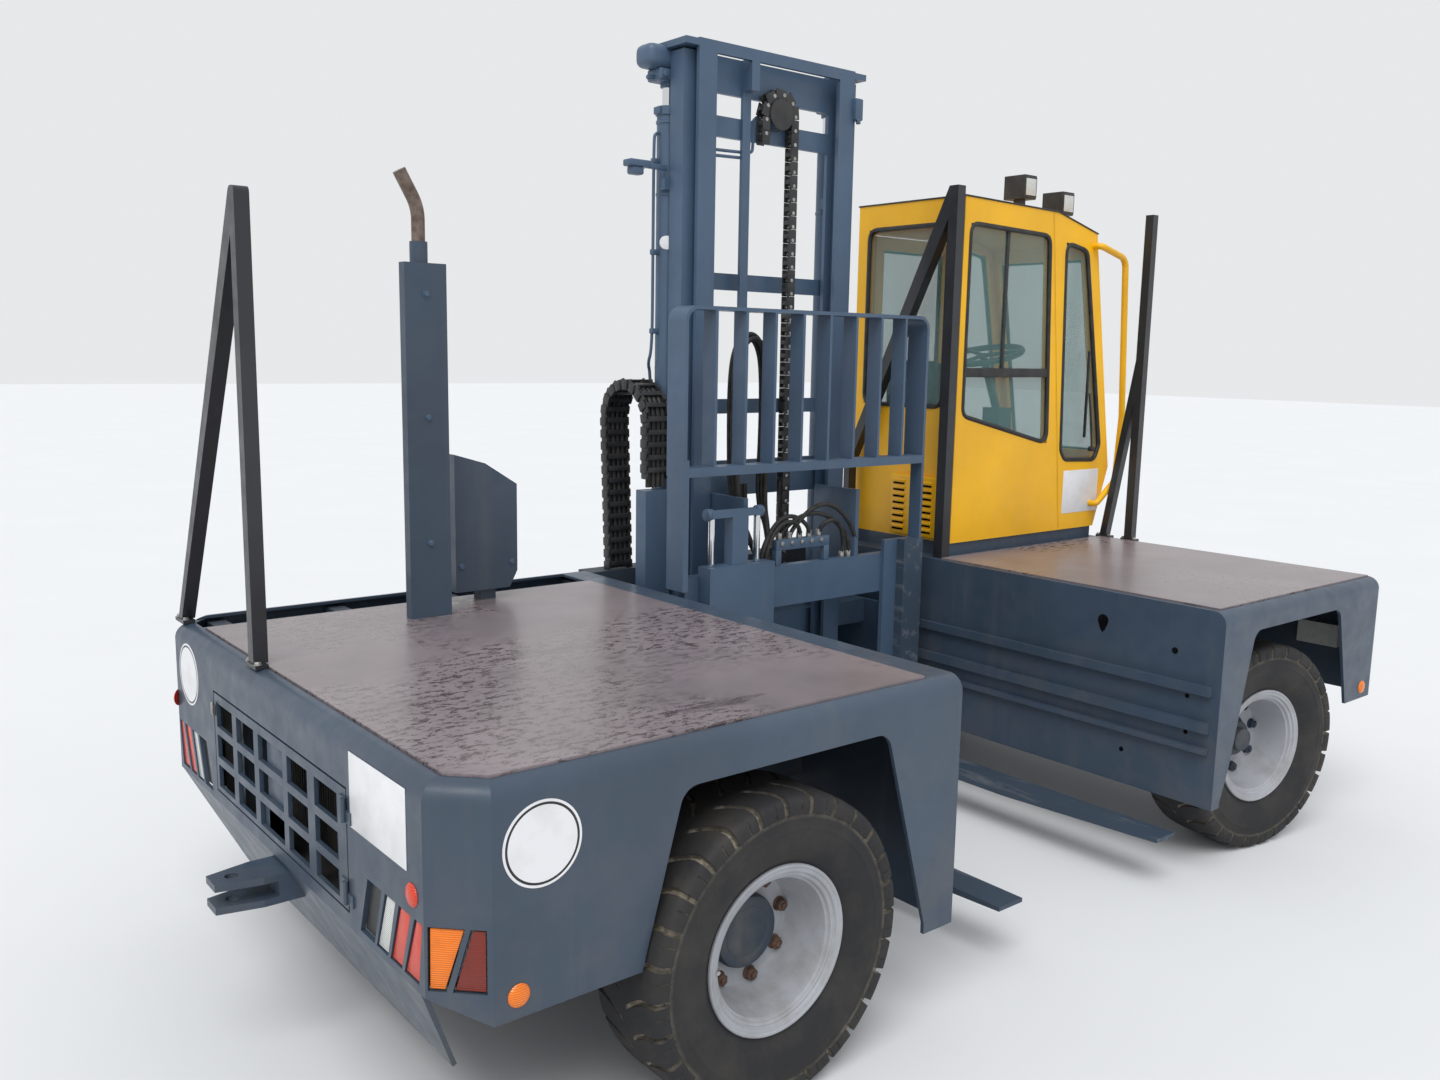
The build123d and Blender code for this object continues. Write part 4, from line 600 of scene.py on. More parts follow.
def lens_plastic(name, tint):
    """Ribbed lens plastic with a little dirt."""
    lens = blank("lens_" + name, tint, 0.22, coat_weight=0.2, coat_rough=0.08)
    wave = node(lens, "ShaderNodeTexWave", Vector=places(lens), Scale=62.0, Distortion=0.0)
    wave.bands_direction = "Z"
    ribs = wave.outputs["Fac"]
    base = blend(lens, ramp(lens, ribs, 0.2, 0.9), shade(tint, 0.72), shade(tint, 1.12))
    grime = ramp(lens, noise(lens, 35.0, 5.0), 0.5, 0.8, 0.0, 0.35)
    base = blend(lens, grime, base, shade(tint, 0.4))
    return finish_with(lens, base, None, ribs, 0.0010, 0.5)


def seat_cloth():
    """Dark woven cloth of the seat's cushions."""
    cloth = blank("seat_cloth", (0.020, 0.020, 0.023), 0.85, specular=0.25)
    cloth.node_tree.nodes["Principled BSDF"].inputs["Sheen Weight"].default_value = 0.3
    weave = node(cloth, "ShaderNodeTexVoronoi", Vector=places(cloth), Scale=420.0)
    cloud = ramp(cloth, noise(cloth, 9.0, 6.0), 0.35, 0.7)
    base = blend(cloth, cloud, (0.016, 0.016, 0.019), (0.038, 0.037, 0.038))
    return finish_with(cloth, base, None, weave.outputs["Distance"], 0.0008, 0.5)


def make_materials():
    """Every material that the nodes and the pieces use, by name."""
    tints = group("colours")
    made = make_paints(tints)
    made["exhaust"] = exhaust_finish(tints)
    made["board"] = board_coating(tints)
    made["tyre"] = tyre_rubber(tints)
    made["forks"] = fork_steel(tints)
    made["chrome"] = bright_chrome()
    made["glass"] = pane_glass(tints)
    made["cloth"] = seat_cloth()
    for name, tint in (("red", tints.red), ("amber", tints.amber), ("clear", (0.62, 0.63, 0.60)),
                       ("dark_red", shade(tints.red, 0.28))):
        made[name] = lens_plastic(name, tint)
    made["zinc"] = mottled(
        "zinc_steel", (0.42, 0.42, 0.41), 0.38, (45.0, 5.0), (0.35, 0.7),
        (0.46, 0.46, 0.45), (0.26, 0.24, 0.20), (200.0,), 0.0005, metallic=0.85)
    made["rust"] = mottled(
        "rusty_iron", tints.rust, 0.78, (32.0, 8.0, 0.7), (0.35, 0.68),
        shade(tints.rust, 0.55), shade(tints.rust, 1.7), (180.0, 6.0, 0.7), 0.0012, 0.6)
    made["engine"] = mottled(
        "oily_iron", (0.030, 0.030, 0.032), 0.55, (10.0, 7.0), (0.35, 0.7),
        (0.020, 0.020, 0.022), (0.060, 0.052, 0.043), (60.0, 6.0), 0.002, 0.5)
    made["plastic"] = mottled(
        "black_plastic", (0.018, 0.018, 0.020), 0.48, (12.0, 6.0), (0.35, 0.75),
        (0.013, 0.013, 0.015), (0.040, 0.039, 0.038), (420.0, 2.0), 0.0004, 0.35)
    made["hose"] = mottled(
        "hose_rubber", (0.012, 0.012, 0.013), 0.58, (25.0, 5.0), (0.4, 0.75),
        (0.010, 0.010, 0.011), (0.045, 0.040, 0.034), (300.0, 3.0), 0.0004)
    made["seal"] = mottled(
        "seal_rubber", (0.014, 0.014, 0.016), 0.52, (18.0, 5.0), (0.4, 0.8),
        (0.012, 0.012, 0.014), (0.040, 0.038, 0.036), (240.0,), 0.0004)
    made["sign"] = mottled(
        "sign_white", tints.white, 0.34, (12.0, 6.0), (0.45, 0.8, 0.0, 0.6),
        tints.white, (0.58, 0.57, 0.54), (300.0,), 0.0002, 0.2)
    made["sign_ring"] = mottled(
        "sign_black", (0.014, 0.014, 0.015), 0.36, (20.0, 5.0), (0.4, 0.8),
        (0.012, 0.012, 0.013), (0.030, 0.030, 0.031))
    # Near-black for painted shade inside holes and gaps
    made["hole"] = mottled(
        "painted_shade_black", (0.004, 0.004, 0.005), 0.9, (20.0,), (0.4, 0.8),
        (0.003, 0.003, 0.004), (0.010, 0.009, 0.009), specular=0.05)
    return made


MATERIALS = {}

NODE_PAINTS = {
    "body": ("rear_body", "front_body", "grille_door", "tow_hitch", "cab_plinth", "air_filter",
             "mast_rails"),
    "frame": ("rear_frame", "front_frame", "side_girder", "rear_axle", "front_axle",
              "knuckle_right", "knuckle_left"),
    "mast": ("mast_slide", "mast_outer", "mast_inner", "mast_pulley", "fork_carriage",
             "fork_positioner", "backrest"),
    "guard": ("rear_guard", "cab_guard", "front_guard"),
    "cab": ("cab_shell", "cab_door", "grab_handle"),
    "board": ("rear_deck_board", "front_deck_board"),
    "tyre": ("tyre_rear_right", "tyre_rear_left", "tyre_front_right", "tyre_front_left"),
    "rim": ("rim_rear_right", "rim_rear_left", "rim_front_right", "rim_front_left"),
    "forks": ("forks",),
    "chrome": ("lift_rods",),
    "exhaust": ("exhaust",),
    "engine": ("engine_block",),
    "plastic": ("rear_lamps", "work_lamps", "steering_column", "hose_chain"),
    "hose": ("mast_hoses", "carriage_hoses"),
    "glass": ("cab_glass", "cab_door_glass"),
    "clear": ("head_lamps",),
    "cloth": ("driver_seat",),
}


class LOADER_OT_paint(bpy.types.Operator):
    """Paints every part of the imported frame"""

    bl_idname = "loader.paint"
    bl_label = "Frame Paint"

    def execute(self, context):
        MATERIALS.update(make_materials())
        for paint, names in NODE_PAINTS.items():
            for name in names:
                coat(nodes[name], MATERIALS[paint])
        unpainted = set(nodes) - {name for names in NODE_PAINTS.values() for name in names}
        if unpainted:
            raise RuntimeError(f"no paint for {sorted(unpainted)}")
        return {"FINISHED"}


# Wheels, made about their own Z, which points outward along the axle

WHEEL_PLACES = {
    "rear_right": ((REAR_AXLE_X, -REAR_WHEEL_Y), math.pi),
    "rear_left": ((REAR_AXLE_X, REAR_WHEEL_Y), 0.0),
    "front_right": (None, math.pi + STEER_REST),
    "front_left": (None, STEER_REST),
}


def wheel_place(name):
    """Where a wheel stands: its own Z turned to point outward."""
    centre, turn = WHEEL_PLACES[name]
    out = Matrix.Rotation(turn, 4, "Z") @ Vector((0, 1, 0))
    if centre is None:
        side = 1 if name.endswith("left") else -1
        kingpin = Vector((FRONT_AXLE_X, side * KINGPIN_Y, AXLE_Z))
        spot = kingpin + out * (FRONT_WHEEL_Y - KINGPIN_Y)
    else:
        spot = Vector((*centre, AXLE_Z))
    upright = Matrix.Rotation(-math.pi / 2, 4, "X")
    return Matrix.Translation(spot) @ Matrix.Rotation(turn, 4, "Z") @ upright


# Half of the tyre's section: axial, radius, then how deep a groove is there, axially and radially
TYRE_HALF = (
    (0.0980, 0.2130, 0.0, 0.0), (0.0985, 0.2300, 0.0, 0.0), (0.1040, 0.2405, 0.0, 0.0),
    (0.1135, 0.2525, 0.0, 0.0), (0.1225, 0.2680, 0.0, 0.0), (0.1285, 0.2860, 0.0, 0.0),
    (0.1315, 0.3050, 0.0, 0.0), (0.1328, 0.3220, 0.0, 0.0), (0.1332, 0.3290, 0.0, 0.0),
    (0.1342, 0.3310, 0.0, 0.0), (0.1342, 0.3330, 0.0, 0.0), (0.1330, 0.3350, 0.0, 0.0),
    (0.1318, 0.3460, 0.0, 0.0), (0.1296, 0.3580, 0.0, 0.0), (0.1272, 0.3690, 0.0, 0.0),
    (0.1322, 0.3715, 0.0100, 0.0), (0.1334, 0.3770, 0.0130, 0.0), (0.1330, 0.3890, 0.0145, 0.002),
    (0.1316, 0.4010, 0.0140, 0.008), (0.1272, 0.4100, 0.0110, 0.014), (0.1170, 0.4165, 0.0050,
                                                                       0.017),
    (0.0990, 0.4190, 0.0, 0.017), (0.0790, 0.4200, 0.0, 0.017), (0.0600, 0.4200, 0.0, 0.016),
    (0.0440, 0.4200, 0.0, 0.014), (0.0300, 0.4200, 0.0, 0.011), (0.0200, 0.4200, 0.0, 0.005),
    (0.0120, 0.4200, 0.0, 0.0), (0.0040, 0.4200, 0.0, 0.0),
)
TYRE_RADIUS = 0.420
SHOULDER_FOOT = 0.3690
# Toward the middle the grooves curl round the tyre, by up to this share of the pitch
CURL_START = 0.095
CURL_SHARE = 0.62
CURL_POWER = 1.4
# The small notch in each lug lies between two radii and is shallower than a groove
NOTCH_RADII = (0.375, 0.408)
NOTCH_DEPTH = 0.35
# Dry dirt in the grooves, in the notches and along the shoulder's foot
GROOVE_DIRT = 1.0
NOTCH_DIRT = 0.5
FOOT_DIRT = 0.35


def tyre_stations(groove_share):
    """Places round one lug, as (share of the pitch, in the groove, in the small notch)."""
    wall = 0.18 * groove_share
    return (
        (0.0, 0, 0), (wall, 1, 0), (groove_share - wall, 1, 0), (groove_share, 0, 0),
        (0.28, 0, 0), (0.46, 0, 0), (0.475, 0, 1), (0.505, 0, 1), (0.52, 0, 0), (0.70, 0, 0),
        (0.86, 0, 0),
    )


def make_tyre():
    """One tyre with curved grooves between worn lugs."""
    sizes = group("wheels")
    pitch = math.tau / sizes.lugs
    stations = tyre_stations(sizes.groove / (pitch * TYRE_RADIUS))
    section = [(-a, r, -da, dr, 1) for a, r, da, dr in TYRE_HALF]
    section += [(a, r, da, dr, 0) for a, r, da, dr in reversed(TYRE_HALF)]
    around = sizes.lugs * len(stations)
    piece = lathe("tyre", [(r, a) for a, r, da, dr, far in section], around)
    rows = {(round(row[1], 4), round(row[0], 4)): row for row in section}
    marks = piece.data.attributes.new("dirt", "FLOAT", "POINT")
    values = [0.0] * len(piece.data.vertices)
    for vertex in piece.data.vertices:
        x, y, z = vertex.co
        a, r, da, dr, far = rows[(round(math.hypot(x, y), 4), round(z, 4))]
        step = round(math.atan2(y, x) / math.tau * around) % around
        share, in_groove, in_notch = stations[step % len(stations)]
        curl = max(0.0, (CURL_START - abs(a)) / CURL_START) ** CURL_POWER * CURL_SHARE
        turn = (step // len(stations) + share + curl + 0.5 * far) * pitch
        depth = in_groove
        if in_notch and da and NOTCH_RADII[0] < r < NOTCH_RADII[1]:
            depth = NOTCH_DEPTH
        a -= da * depth
        r -= dr * depth
        vertex.co = (r * math.cos(turn), r * math.sin(turn), a)
        if in_groove and (da or dr):
            values[vertex.index] = GROOVE_DIRT
        elif abs(r - SHOULDER_FOOT) < 0.0015:
            values[vertex.index] = FOOT_DIRT
        elif depth and da:
            values[vertex.index] = NOTCH_DIRT
    marks.data.foreach_set("value", values)
    piece.data.update()
    edit(piece)
    face_outward()
    return coat(close(piece), MATERIALS["tyre"])


class LOADER_OT_tyres(bpy.types.Operator):
    """Makes the four tyres with their worn lugs"""

    bl_idname = "loader.tyres"
    bl_label = "Tyres"

    def execute(self, context):
        pattern = make_tyre()
        for name in WHEEL_PLACES:
            twin = twin_of(pattern, wheel_place(name))
            fit(twin, f"lugged_tyre_{name}", f"wheel_{name}", 40)
            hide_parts(f"tyre_{name}")
        bpy.data.objects.remove(pattern)
        return {"FINISHED"}


# Rim section as (radius, height): disc, dish, stepped flange, well and back
RIM_SECTION = (
    (0.0, -0.050), (0.150, -0.050), (0.157, -0.047), (0.163, -0.038), (0.169, -0.020), (0.175,
                                                                                        0.008),
    (0.181, 0.042), (0.184, 0.072), (0.187, 0.0845), (0.1925, 0.0855), (0.1945, 0.0885), (0.1960,
                                                                                          0.0960),
    (0.2000, 0.0985), (0.2060, 0.0985), (0.2080, 0.1010), (0.2090, 0.1045), (0.2140, 0.1065),
    (0.2190, 0.1065), (0.2215, 0.1085), (0.2245, 0.1100), (0.2285, 0.1095), (0.2310, 0.1065),
    (0.2310, 0.1005), (0.2280, 0.0990), (0.2130, 0.0990), (0.2115, -0.0990), (0.2280, -0.0990),
    (0.2310, -0.1005), (0.2310, -0.1080), (0.2280, -0.1100), (0.2060, -0.1100), (0.1950, -0.0860),
    (0.1850, -0.0360), (0.1580, -0.0660), (0.0, -0.0660),
)


NUT_WASHER = (
    (0.0, 0.0), (0.0200, 0.0), (0.0210, 0.0012), (0.0205, 0.0035), (0.0185, 0.0050),
    (0.0150, 0.0050), (0.0, 0.0050),
)
FRONT_HUB = (
    (0.0, 0.026), (0.040, 0.026), (0.046, 0.0235), (0.048, 0.0180), (0.048, -0.0020), (0.066,
                                                                                       -0.0040),
    (0.071, -0.0080), (0.073, -0.0140), (0.075, -0.0380), (0.090, -0.0410), (0.094, -0.0500),
)
NUT_FOOT = -0.0502
FIRST_NUT = 0.3


def rear_drum(r):
    """Section of the rear hub's drum with its stepped edge, from its radius."""
    return (
        (0.0, -0.0215), (r - 0.030, -0.0215), (r - 0.024, -0.018), (r - 0.008, -0.018),
        (r - 0.002, -0.0200), (r, -0.0245), (r, -0.0300), (r + 0.003, -0.0330), (r + 0.003,
                                                                                 -0.0500),
    )


def hexagon(radius, depth, middle, bevel, steps, crown=0.0):
    """A hexagon head with its top edge bevelled, and a crown set into its top if asked."""
    clear_selection()
    bpy.ops.mesh.primitive_cylinder_add(
        vertices=6, radius=radius, depth=depth, location=(0, 0, middle))
    head = apply_place(bpy.context.object)
    edit(head, lambda centre, normal: normal.z > 0.9)
    bpy.ops.mesh.bevel(offset=bevel, segments=steps, affect="EDGES")
    if crown:
        bpy.ops.mesh.inset(thickness=crown, depth=0.0)
    return close(head)


def make_nut():
    """A wheel nut and its stud on a round washer, standing on the disc's face."""
    washer = lathe("nut", NUT_WASHER, 20)
    head = hexagon(0.0175, 0.016, 0.0125, 0.0022, 2, 0.003)
    stud = bar((0, 0, 0.010), (0, 0, 0.0265), 0.0085, 14, 0.0012)
    return joined([washer, head, stud])


def dress_wheel(name):
    """The rim, the hub, the nuts and the valve of one wheel."""
    sizes = group("wheels")
    place = wheel_place(name)
    body = f"wheel_{name}"
    rear = name.startswith("rear")
    rim = placed(lathe("rim", RIM_SECTION, 96), place)
    assemble([rim], "rim", f"stepped_rim_{name}", body, 28)
    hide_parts(f"rim_{name}")
    hub = placed(lathe("drum", rear_drum(sizes.drum) if rear else FRONT_HUB, 64), place)
    assemble([hub], "hub", f"hub_{name}", body, 30)
    ring = []
    for i in range(sizes.nuts):
        turn = Matrix.Rotation(math.tau * (i + FIRST_NUT) / sizes.nuts, 4, "Z")
        ring.append(place @ turn @ Matrix.Translation((sizes.nut_circle, 0, NUT_FOOT)))
    nuts = repeated(make_nut(), ring)
    assemble([nuts], "rust" if rear else "hub", f"wheel_nuts_{name}", body, 30)
    valve = joined([bar((0.178, 0, 0.040), (0.196, 0, 0.094), 0.0045, 12, 0.001),
                    bar((0.194, 0, 0.088), (0.1985, 0, 0.103), 0.0062, 12, 0.0015)])
    assemble([placed(valve, place)], "zinc", f"valve_{name}", body)


class LOADER_OT_rims(bpy.types.Operator):
    """Makes the rims with their stepped flange, hubs, nuts and valves"""

    bl_idname = "loader.rims"
    bl_label = "Rims"

    def execute(self, context):
        for name in WHEEL_PLACES:
            dress_wheel(name)
        return {"FINISHED"}


# Chains: a route in one plane, cut into links of one length


def along(route, pitch):
    """Points one pitch apart along a route, each with the direction to the next."""
    route = [Vector(point) for point in route]
    places = []
    carried = 0.0
    for start, end in zip(route, route[1:]):
        run = (end - start).length
        direction = (end - start).normalized()
        while carried <= run:
            places.append((start + direction * carried, direction))
            carried += pitch
        carried -= run
    return places


def arc_points(centre, radius, start_deg, end_deg, steps, across):
    """Points of an arc in the plane across an axis: 'X' gives (Y, Z), 'Y' gives (X, Z)."""
    points = []
    for i in range(steps + 1):
        angle = math.radians(start_deg + (end_deg - start_deg) * i / steps)
        u = centre[0] + radius * math.cos(angle)
        v = centre[1] + radius * math.sin(angle)
        points.append((across[1], u, v) if across[0] == "X" else (u, across[1], v))
    return points


def link_places(route, pitch, across):
    """The place of each link along a route: its Z along the chain, its own X or Y across it."""
    found = []
    for point, direction in along(route, pitch)[:-1]:
        if across == "X":
            x_axis = Vector((1, 0, 0))
            y_axis = direction.cross(x_axis)
        else:
            y_axis = Vector((0, 1, 0))
            x_axis = y_axis.cross(direction)
        turn = Matrix((x_axis, y_axis, direction)).transposed()
        found.append(Matrix.Translation(point) @ turn.to_4x4())
    return found


HOSE_CHAIN_X = (-0.440, -0.320)
HOSE_CHAIN_LOOP = (0.845, 1.6705)
HOSE_CHAIN_RADIUS = 0.145
HOSE_CHAIN_FOOT = (0.9575, 1.046)
HOSE_CHAIN_END = (0.700, 1.412)
HOSE_CHAIN_HOSES = (-0.034, -0.011, 0.012, 0.035)


def hose_chain_link(pitch):
    """One link: its Z runs along the chain, its X across, its Y through the chain's thickness."""
    wide = (HOSE_CHAIN_X[1] - HOSE_CHAIN_X[0]) / 2
    parts = []
    for side in (-1, 1):
        for reach, drop in ((wide - 0.004, -0.004), (wide - 0.010, 0.020)):
            low = (side * reach - 0.005, -0.0205, drop)
            high = (side * reach + 0.005, 0.0205, drop + pitch * 0.72)
            parts.append(block(low, high, 0.004))
    for face in (-1, 1):
        low = (-wide + 0.012, face * 0.0165 - 0.0035, 0.008)
        high = (wide - 0.012, face * 0.0165 + 0.0035, 0.030)
        parts.append(block(low, high, 0.003))
    return joined(parts)


class LOADER_OT_hose_chain(bpy.types.Operator):
    """Makes the ribbed links of the hose chain and the hoses inside them"""

    bl_idname = "loader.hose_chain"
    bl_label = "Hose Chain"

    def execute(self, context):
        pitch = group("trim").link_pitch
        middle = sum(HOSE_CHAIN_X) / 2
        route = [(middle, *HOSE_CHAIN_FOOT)]
        route += arc_points(HOSE_CHAIN_LOOP, HOSE_CHAIN_RADIUS, 0, 180, 24, ("X", middle))
        route += [(middle, *HOSE_CHAIN_END)]
        links = repeated(hose_chain_link(pitch), link_places(route, pitch, "X"))
        assemble([links], "plastic", "hose_chain_links", "chassis", 30)
        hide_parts("hose_chain")
        hoses = []
        for offset in HOSE_CHAIN_HOSES:
            hoses.append(tube("hose", [(middle + offset, y, z) for _, y, z in route], 0.0105))
        assemble(hoses, "hose", "hose_chain_hoses", "chassis")
        return {"FINISHED"}


LIFT_CHAIN_X = 0.200
LIFT_CHAIN_TOP = 2.915
LIFT_CHAIN_RADIUS = 0.079
LIFT_CHAIN_FOOT = 0.990
LIFT_CHAIN_TAIL = 2.760
LIFT_CHAIN_Y = (0.6415, 0.6825)
CHAIN_PULLEY = (
    (0.0, -0.030), (0.040, -0.030), (0.054, -0.026), (0.062, -0.024), (0.062, -0.019),
    (0.054, -0.017), (0.054, 0.017), (0.062, 0.019), (0.062, 0.024), (0.054, 0.026), (0.0, 0.030),
)


def lift_chain_link(pitch, half):
    """One link: its Z runs along the chain, its Y across, its X through the chain's thickness."""
    plates = []
    for side in (-1, 1):
        edge = side * (half - 0.003)
        low = (-0.0205, edge - 0.0028, -0.010)
        high = (0.0205, edge + 0.0028, pitch * 0.80)
        plates.append(block(low, high, 0.006))
    for face in (-1, 1):
        low = (face * 0.0165 - 0.003, -half + 0.004, 0.008)
        high = (face * 0.0165 + 0.003, half - 0.004, 0.026)
        plates.append(block(low, high, 0.002))
    return joined(plates)


class LOADER_OT_lift_chain(bpy.types.Operator):
    """Makes the linked hose chain over the mast pulley, with its bright pins"""

    bl_idname = "loader.lift_chain"
    bl_label = "Lift Chain"

    def execute(self, context):
        pitch = group("trim").chain_pitch
        y = sum(LIFT_CHAIN_Y) / 2
        route = [(LIFT_CHAIN_X + LIFT_CHAIN_RADIUS, y, LIFT_CHAIN_FOOT)]
        route += arc_points((LIFT_CHAIN_X, LIFT_CHAIN_TOP), LIFT_CHAIN_RADIUS, 0, 180, 16, ("Y", y))
        route += [(LIFT_CHAIN_X - LIFT_CHAIN_RADIUS, y, LIFT_CHAIN_TAIL)]
        half = (LIFT_CHAIN_Y[1] - LIFT_CHAIN_Y[0]) / 2
        link = lift_chain_link(pitch, half)
        pin = bar((0, -half - 0.0020, 0), (0, half + 0.0010, 0), 0.0080, 14, 0.001)
        spots = link_places(route, pitch, "Y")
        links = assemble([repeated(link, spots)], "plastic", "lift_chain_links", "mast_inner",
                         30)
        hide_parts("mast_hoses")
        assemble([repeated(pin, spots)], "zinc", "lift_chain_pins", "mast_inner", 30)
        pulley_place = facing((LIFT_CHAIN_X, y, LIFT_CHAIN_TOP), (0, -1, 0))
        pulley = placed(lathe("wheel", CHAIN_PULLEY, 40), pulley_place)
        assemble([pulley], "plastic", "chain_pulley", "mast_inner", 30)
        return {"FINISHED"}


# Cab trim

SIDE_PANE = ((1.110, 1.685), (1.110, 2.540), (1.692, 2.525), (1.755, 1.538))
CORNER_PANE = ((1.870, 1.500), (1.822, 2.505), (1.998, 2.475), (2.200, 1.520), (2.165, 1.442),
               (1.905, 1.452))
REAR_PANE_Y = (0.470, 0.961)
REAR_PANE_Z = (1.720, 2.540)
SCREEN_Y = (0.450, 0.961)
SCREEN_Z = (1.480, 2.440)
MULLION_Z = 1.880
DOOR_PANE = ((1.203, 1.500), (1.203, 2.460), (1.657, 2.460), (1.657, 1.500))
ROOF_Z = 2.655


def screen_x(z):
    """X of the raked windscreen face at a height."""
    return 2.290 + (2.070 - 2.290) * (z - 1.400) / (2.560 - 1.400)


def seal_round(outline, name, body):
    """A rubber seal along a closed outline."""
    sizes = group("trim")
    ring = tube(name, rounded(outline, sizes.corner), sizes.seal, True, False, 3)
    return assemble([ring], "seal", name, body, 50)


class LOADER_OT_cab_seals(bpy.types.Operator):
    """Makes the rubber round the panes, the crossbar and the roof edge"""

    bl_idname = "loader.cab_seals"
    bl_label = "Cab Seals"

    def execute(self, context):
        flush = 0.004
        right = CAB_RIGHT_Y + flush
        left = SIDE_Y - flush
        seal_round([(x, right, z) for x, z in SIDE_PANE], "seal_side_window", "chassis")
        seal_round([(x, right, z) for x, z in CORNER_PANE], "seal_corner_window_right", "chassis")
        seal_round([(x, left, z) for x, z in CORNER_PANE], "seal_corner_window_left", "chassis")
        seal_round([(x, left, z) for x, z in DOOR_PANE], "seal_door_window", "cab_door")
        rear = CAB_REAR_X + flush
        (y0, y1), (z0, z1) = REAR_PANE_Y, REAR_PANE_Z
        seal_round([(rear, y0, z0), (rear, y1, z0), (rear, y1, z1), (rear, y0, z1)],
                   "seal_rear_window", "chassis")
        (y0, y1), (z0, z1) = SCREEN_Y, SCREEN_Z
        corners = [(screen_x(z) - flush, y, z) for y, z in ((y0, z0), (y1, z0), (y1, z1), (y0, z1))]
        seal_round(corners, "seal_windscreen", "chassis")
        crossbar = block((1.108, right - 0.008, MULLION_Z - 0.021),
                         (1.735, right + 0.010, MULLION_Z + 0.021), 0.005)
        slider = block((1.380, right + 0.004, MULLION_Z), (1.402, right + 0.018, 2.530), 0.004)
        assemble([crossbar, slider], "seal", "window_crossbar", "chassis")
        seam = [tube("seam", [(1.704, y, 2.636), (1.884, y, 1.112)], 0.0032, False, False, 2)
                for y in (CAB_RIGHT_Y, SIDE_Y)]
        assemble(seam, "cab", "cab_panel_seam", "chassis", 50)
        lines = [tube("line", [(1.709, y, 2.634), (1.889, y, 1.112)], 0.0016, False, False, 1)
                 for y in (CAB_RIGHT_Y, SIDE_Y)]
        assemble(lines, "seal", "cab_seam_gap", "chassis", 50)
        edge_xz = ((CAB_REAR_X - 0.002, ROOF_Z), (1.745, ROOF_Z - 0.015), (2.072, 2.562))
        edge = [(x, CAB_RIGHT_Y - 0.002, z) for x, z in edge_xz]
        edge += [(x, SIDE_Y + 0.002, z) for x, z in reversed(edge_xz)]
        trim = tube("roof_edge", edge, 0.004, True, False, 2)
        assemble([trim], "seal", "roof_edge_trim", "chassis", 50)
        return {"FINISHED"}


VENT_Y = (0.455, 0.735)
VENT_Z = (1.115, 1.395)
VENT_COLUMNS = ((0.476, 0.546), (0.644, 0.714))
VENT_ROWS = 8
VENT_PITCH = 0.031
WORK_LAMPS = ((1.655, 2.700), (1.960, 2.650))


class LOADER_OT_cab_fittings(bpy.types.Operator):
    """Makes the vent box, wiper, work lamp bezels and lenses, and door handle"""

    bl_idname = "loader.cab_fittings"
    bl_label = "Cab Fittings"

    def execute(self, context):
        box = block((CAB_REAR_X - 0.032, VENT_Y[0], VENT_Z[0]),
                    (CAB_REAR_X + 0.002, VENT_Y[1], VENT_Z[1]), 0.006)
        slats = []
        for i in range(VENT_ROWS):
            z = VENT_Z[0] + 0.028 + i * VENT_PITCH
            for low, high in VENT_COLUMNS:
                slats.append(block((CAB_REAR_X - 0.040, low - 0.004, z),
                                   (CAB_REAR_X - 0.028, high + 0.004, z + 0.014), 0.004))
        assemble([box] + slats, "cab", "cab_vent", "chassis")
        # Near-black strips behind the slats: painted shade in the vent's gaps
        shadows = []
        for i in range(VENT_ROWS):
            z = VENT_Z[0] + 0.018 + i * VENT_PITCH
            for low, high in VENT_COLUMNS:
                shadows.append(block((CAB_REAR_X - 0.0335, low, z),
                                     (CAB_REAR_X - 0.0315, high, z + 0.009), 0.001))
        assemble(shadows, "hole", "cab_vent_gap_shade", "chassis")

        arm_y = CAB_RIGHT_Y - 0.014
        arm = [tube("arm", [(2.115, arm_y, 1.500), (2.088, arm_y - 0.008, 1.640),
                            (2.060, arm_y - 0.004, 1.780)], 0.005),
               block((2.037, arm_y - 0.008, 1.560), (2.047, arm_y + 0.006, 1.990), 0.003),
               bar((2.115, CAB_RIGHT_Y + 0.002, 1.500), (2.115, arm_y - 0.012, 1.500), 0.013, 16,
                   0.003)]
        assemble(arm, "plastic", "wiper", "chassis")

        lens = []
        rims = []
        for x, z in WORK_LAMPS:
            lens.append(block((x - 0.037, 0.479, z + 0.016), (x + 0.037, 0.484, z + 0.094), 0.002))
            rims.append(block((x - 0.048, 0.482, z + 0.004), (x + 0.048, 0.492, z + 0.106), 0.006))
        assemble(rims, "plastic", "work_lamp_bezels", "chassis")
        assemble(lens, "clear", "work_lamp_lenses", "chassis")

        handle = [block((1.195, SIDE_Y + 0.002, 1.330), (1.250, SIDE_Y + 0.010, 1.450), 0.004),
                  bar((1.2225, SIDE_Y + 0.006, 1.352), (1.2225, SIDE_Y + 0.034, 1.352), 0.006, 12),
                  bar((1.2225, SIDE_Y + 0.006, 1.428), (1.2225, SIDE_Y + 0.034, 1.428), 0.006, 12),
                  block((1.214, SIDE_Y + 0.026, 1.340), (1.231, SIDE_Y + 0.036, 1.440), 0.004)]
        assemble(handle, "plastic", "door_handle", "cab_door")
        return {"FINISHED"}


CUSHION_ROUNDING = 0.045
CUSHION_VOXEL = 0.008
CUSHION_PRESSURE = 4.0
CUSHION_FRAMES = 14


